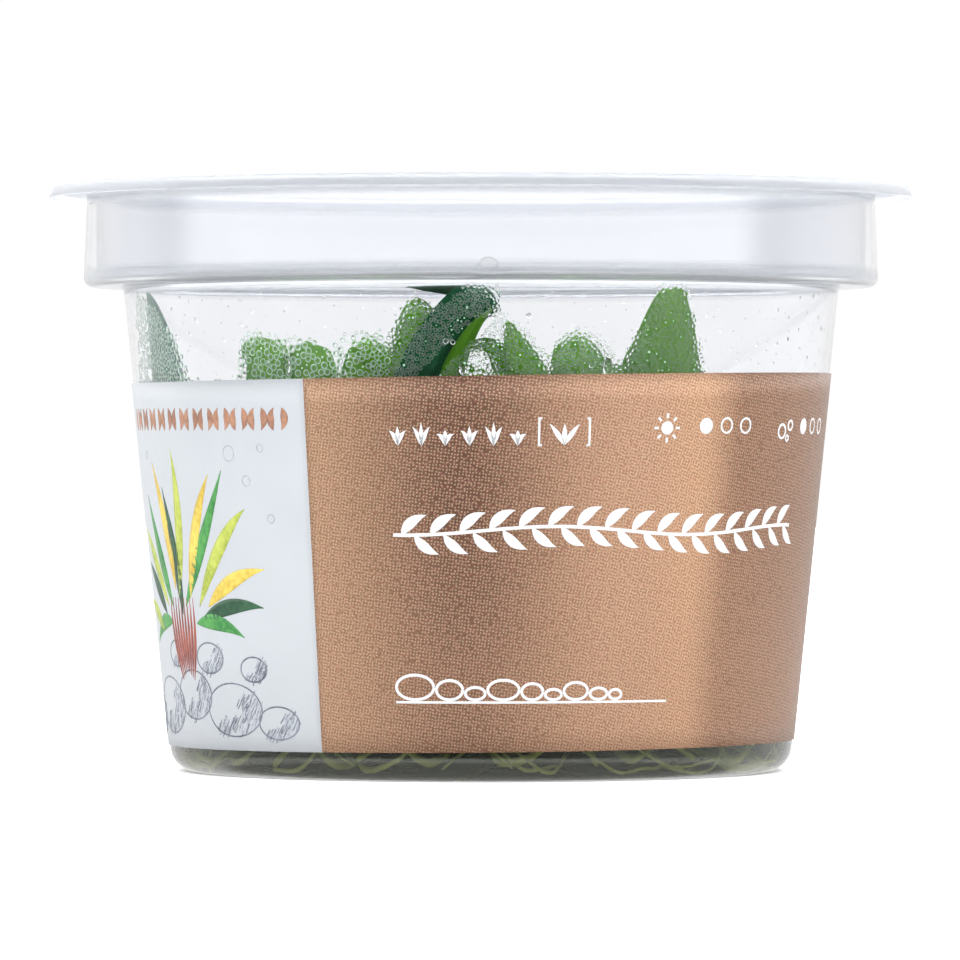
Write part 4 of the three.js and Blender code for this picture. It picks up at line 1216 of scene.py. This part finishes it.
def floor():
    """A wide pale floor."""
    a = np.arange(96) * TURN / 96
    bars = [0.2, 0.6, 1.4, 3.0]
    rings = [[[r * 1000 * math.cos(t), r * 1000 * math.sin(t), 0.0] for t in a] for r in bars]
    points, quads, tris = shell(rings)
    inner_disc = tris[:len(a)]
    mesh = bpy.data.meshes.new("floor")
    mesh.from_pydata((points * MM).tolist(), [], quads.tolist() + inner_disc.tolist())
    mesh.validate()
    made = bpy.data.objects.new("floor", mesh)
    material, tree, shader, _, where = new_material(
        "floor", Roughness=0.8, Emission_Color=(1, 1, 1, 1), Emission_Strength=0.22)
    greys = [(0.3, (0.93, 0.935, 0.94, 1)), (0.7, (0.95, 0.95, 0.95, 1))]
    shade = ramp(tree, noise(tree, where, 6, 2), greys)
    dress(tree, shader, shade)
    mesh.materials.append(material)
    bpy.context.scene.collection.objects.link(made)
    made.visible_glossy = False
    made.visible_transmission = False


def softbox(name, at, target, size, power):
    light = bpy.data.lights.new(name, "AREA")
    light.shape = "RECTANGLE"
    light.size, light.size_y = size
    light.energy = power
    made = bpy.data.objects.new(name, light)
    made.location = at
    made.rotation_euler = (Vector(target) - Vector(at)).to_track_quat("-Z", "Y").to_euler()
    bpy.context.scene.collection.objects.link(made)


def surroundings():
    """A studio that is bright above, light behind the cup and dark towards the camera."""
    world = bpy.data.worlds.new("studio")
    bpy.context.scene.world = world
    world.use_nodes = True
    tree = world.node_tree
    tree.nodes.clear()
    way = add(tree, "TexCoord").outputs["Generated"]
    turned_way = add(tree, "Mapping", {"Vector": way, "Rotation": (0, 0, math.radians(4.5))}).outputs[0]
    _, y, z = axes(tree, turned_way)
    round_about = ramp(tree, times_plus(tree, y, 0.5, 0.5), [
        (0.0, (0.03, 0.03, 0.035, 1)), (0.07, (0.12, 0.12, 0.13, 1)), (0.26, (0.36, 0.37, 0.39, 1)),
        (0.5, (0.42, 0.43, 0.45, 1)), (0.74, (0.76, 0.77, 0.78, 1)), (0.86, (0.845, 0.845, 0.845, 1))])
    below = mapped(tree, z, -0.31, -0.40, 0.0, 1.0, "SMOOTHSTEP")
    lift = mapped(tree, y, -0.15, 0.25, 0.17, 0.0, "SMOOTHSTEP")
    above = mapped(tree, maths(tree, "ADD", z, lift), 0.08, 0.30, 0.0, 1.0, "SMOOTHSTEP")
    foot = mapped(tree, z, -0.50, -0.62, 0.0, 1.0, "SMOOTHSTEP")
    shade = mixed(tree, below, round_about, (1.1, 1.1, 1.1, 1))
    shade = mixed(tree, foot, shade, (0.5, 0.5, 0.5, 1))
    shade = mixed(tree, above, shade, (1.85, 1.87, 1.9, 1))
    ground = add(tree, "Background", {"Color": shade, "Strength": 1.2})
    output = add(tree, "OutputWorld")
    tree.links.new(ground.outputs[0], output.inputs[0])


floor()
surroundings()
softbox("top", (0.0, 0.0, 1.3), (0, 0, 0.03), (1.6, 1.6), 5.0)

CAMERA_AT = Vector((-0.00012, -0.954, 0.0384))
CAMERA_TARGET = Vector((-0.00012, 0.0, 0.0348))
lens = bpy.data.cameras.new("camera")
lens.sensor_width = 36
lens.lens = 298.1
lens.clip_start = 0.01
lens.clip_end = 20
camera = bpy.data.objects.new("camera", lens)
camera.location = CAMERA_AT
camera.rotation_euler = (CAMERA_TARGET - CAMERA_AT).to_track_quat("-Z", "Y").to_euler()
bpy.context.scene.collection.objects.link(camera)

scene = bpy.context.scene
scene.camera = camera
scene.view_settings.view_transform = "Standard"
scene.cycles.max_bounces = 24
scene.cycles.transmission_bounces = 20
scene.cycles.glossy_bounces = 4
scene.cycles.diffuse_bounces = 3
scene.cycles.transparent_max_bounces = 8
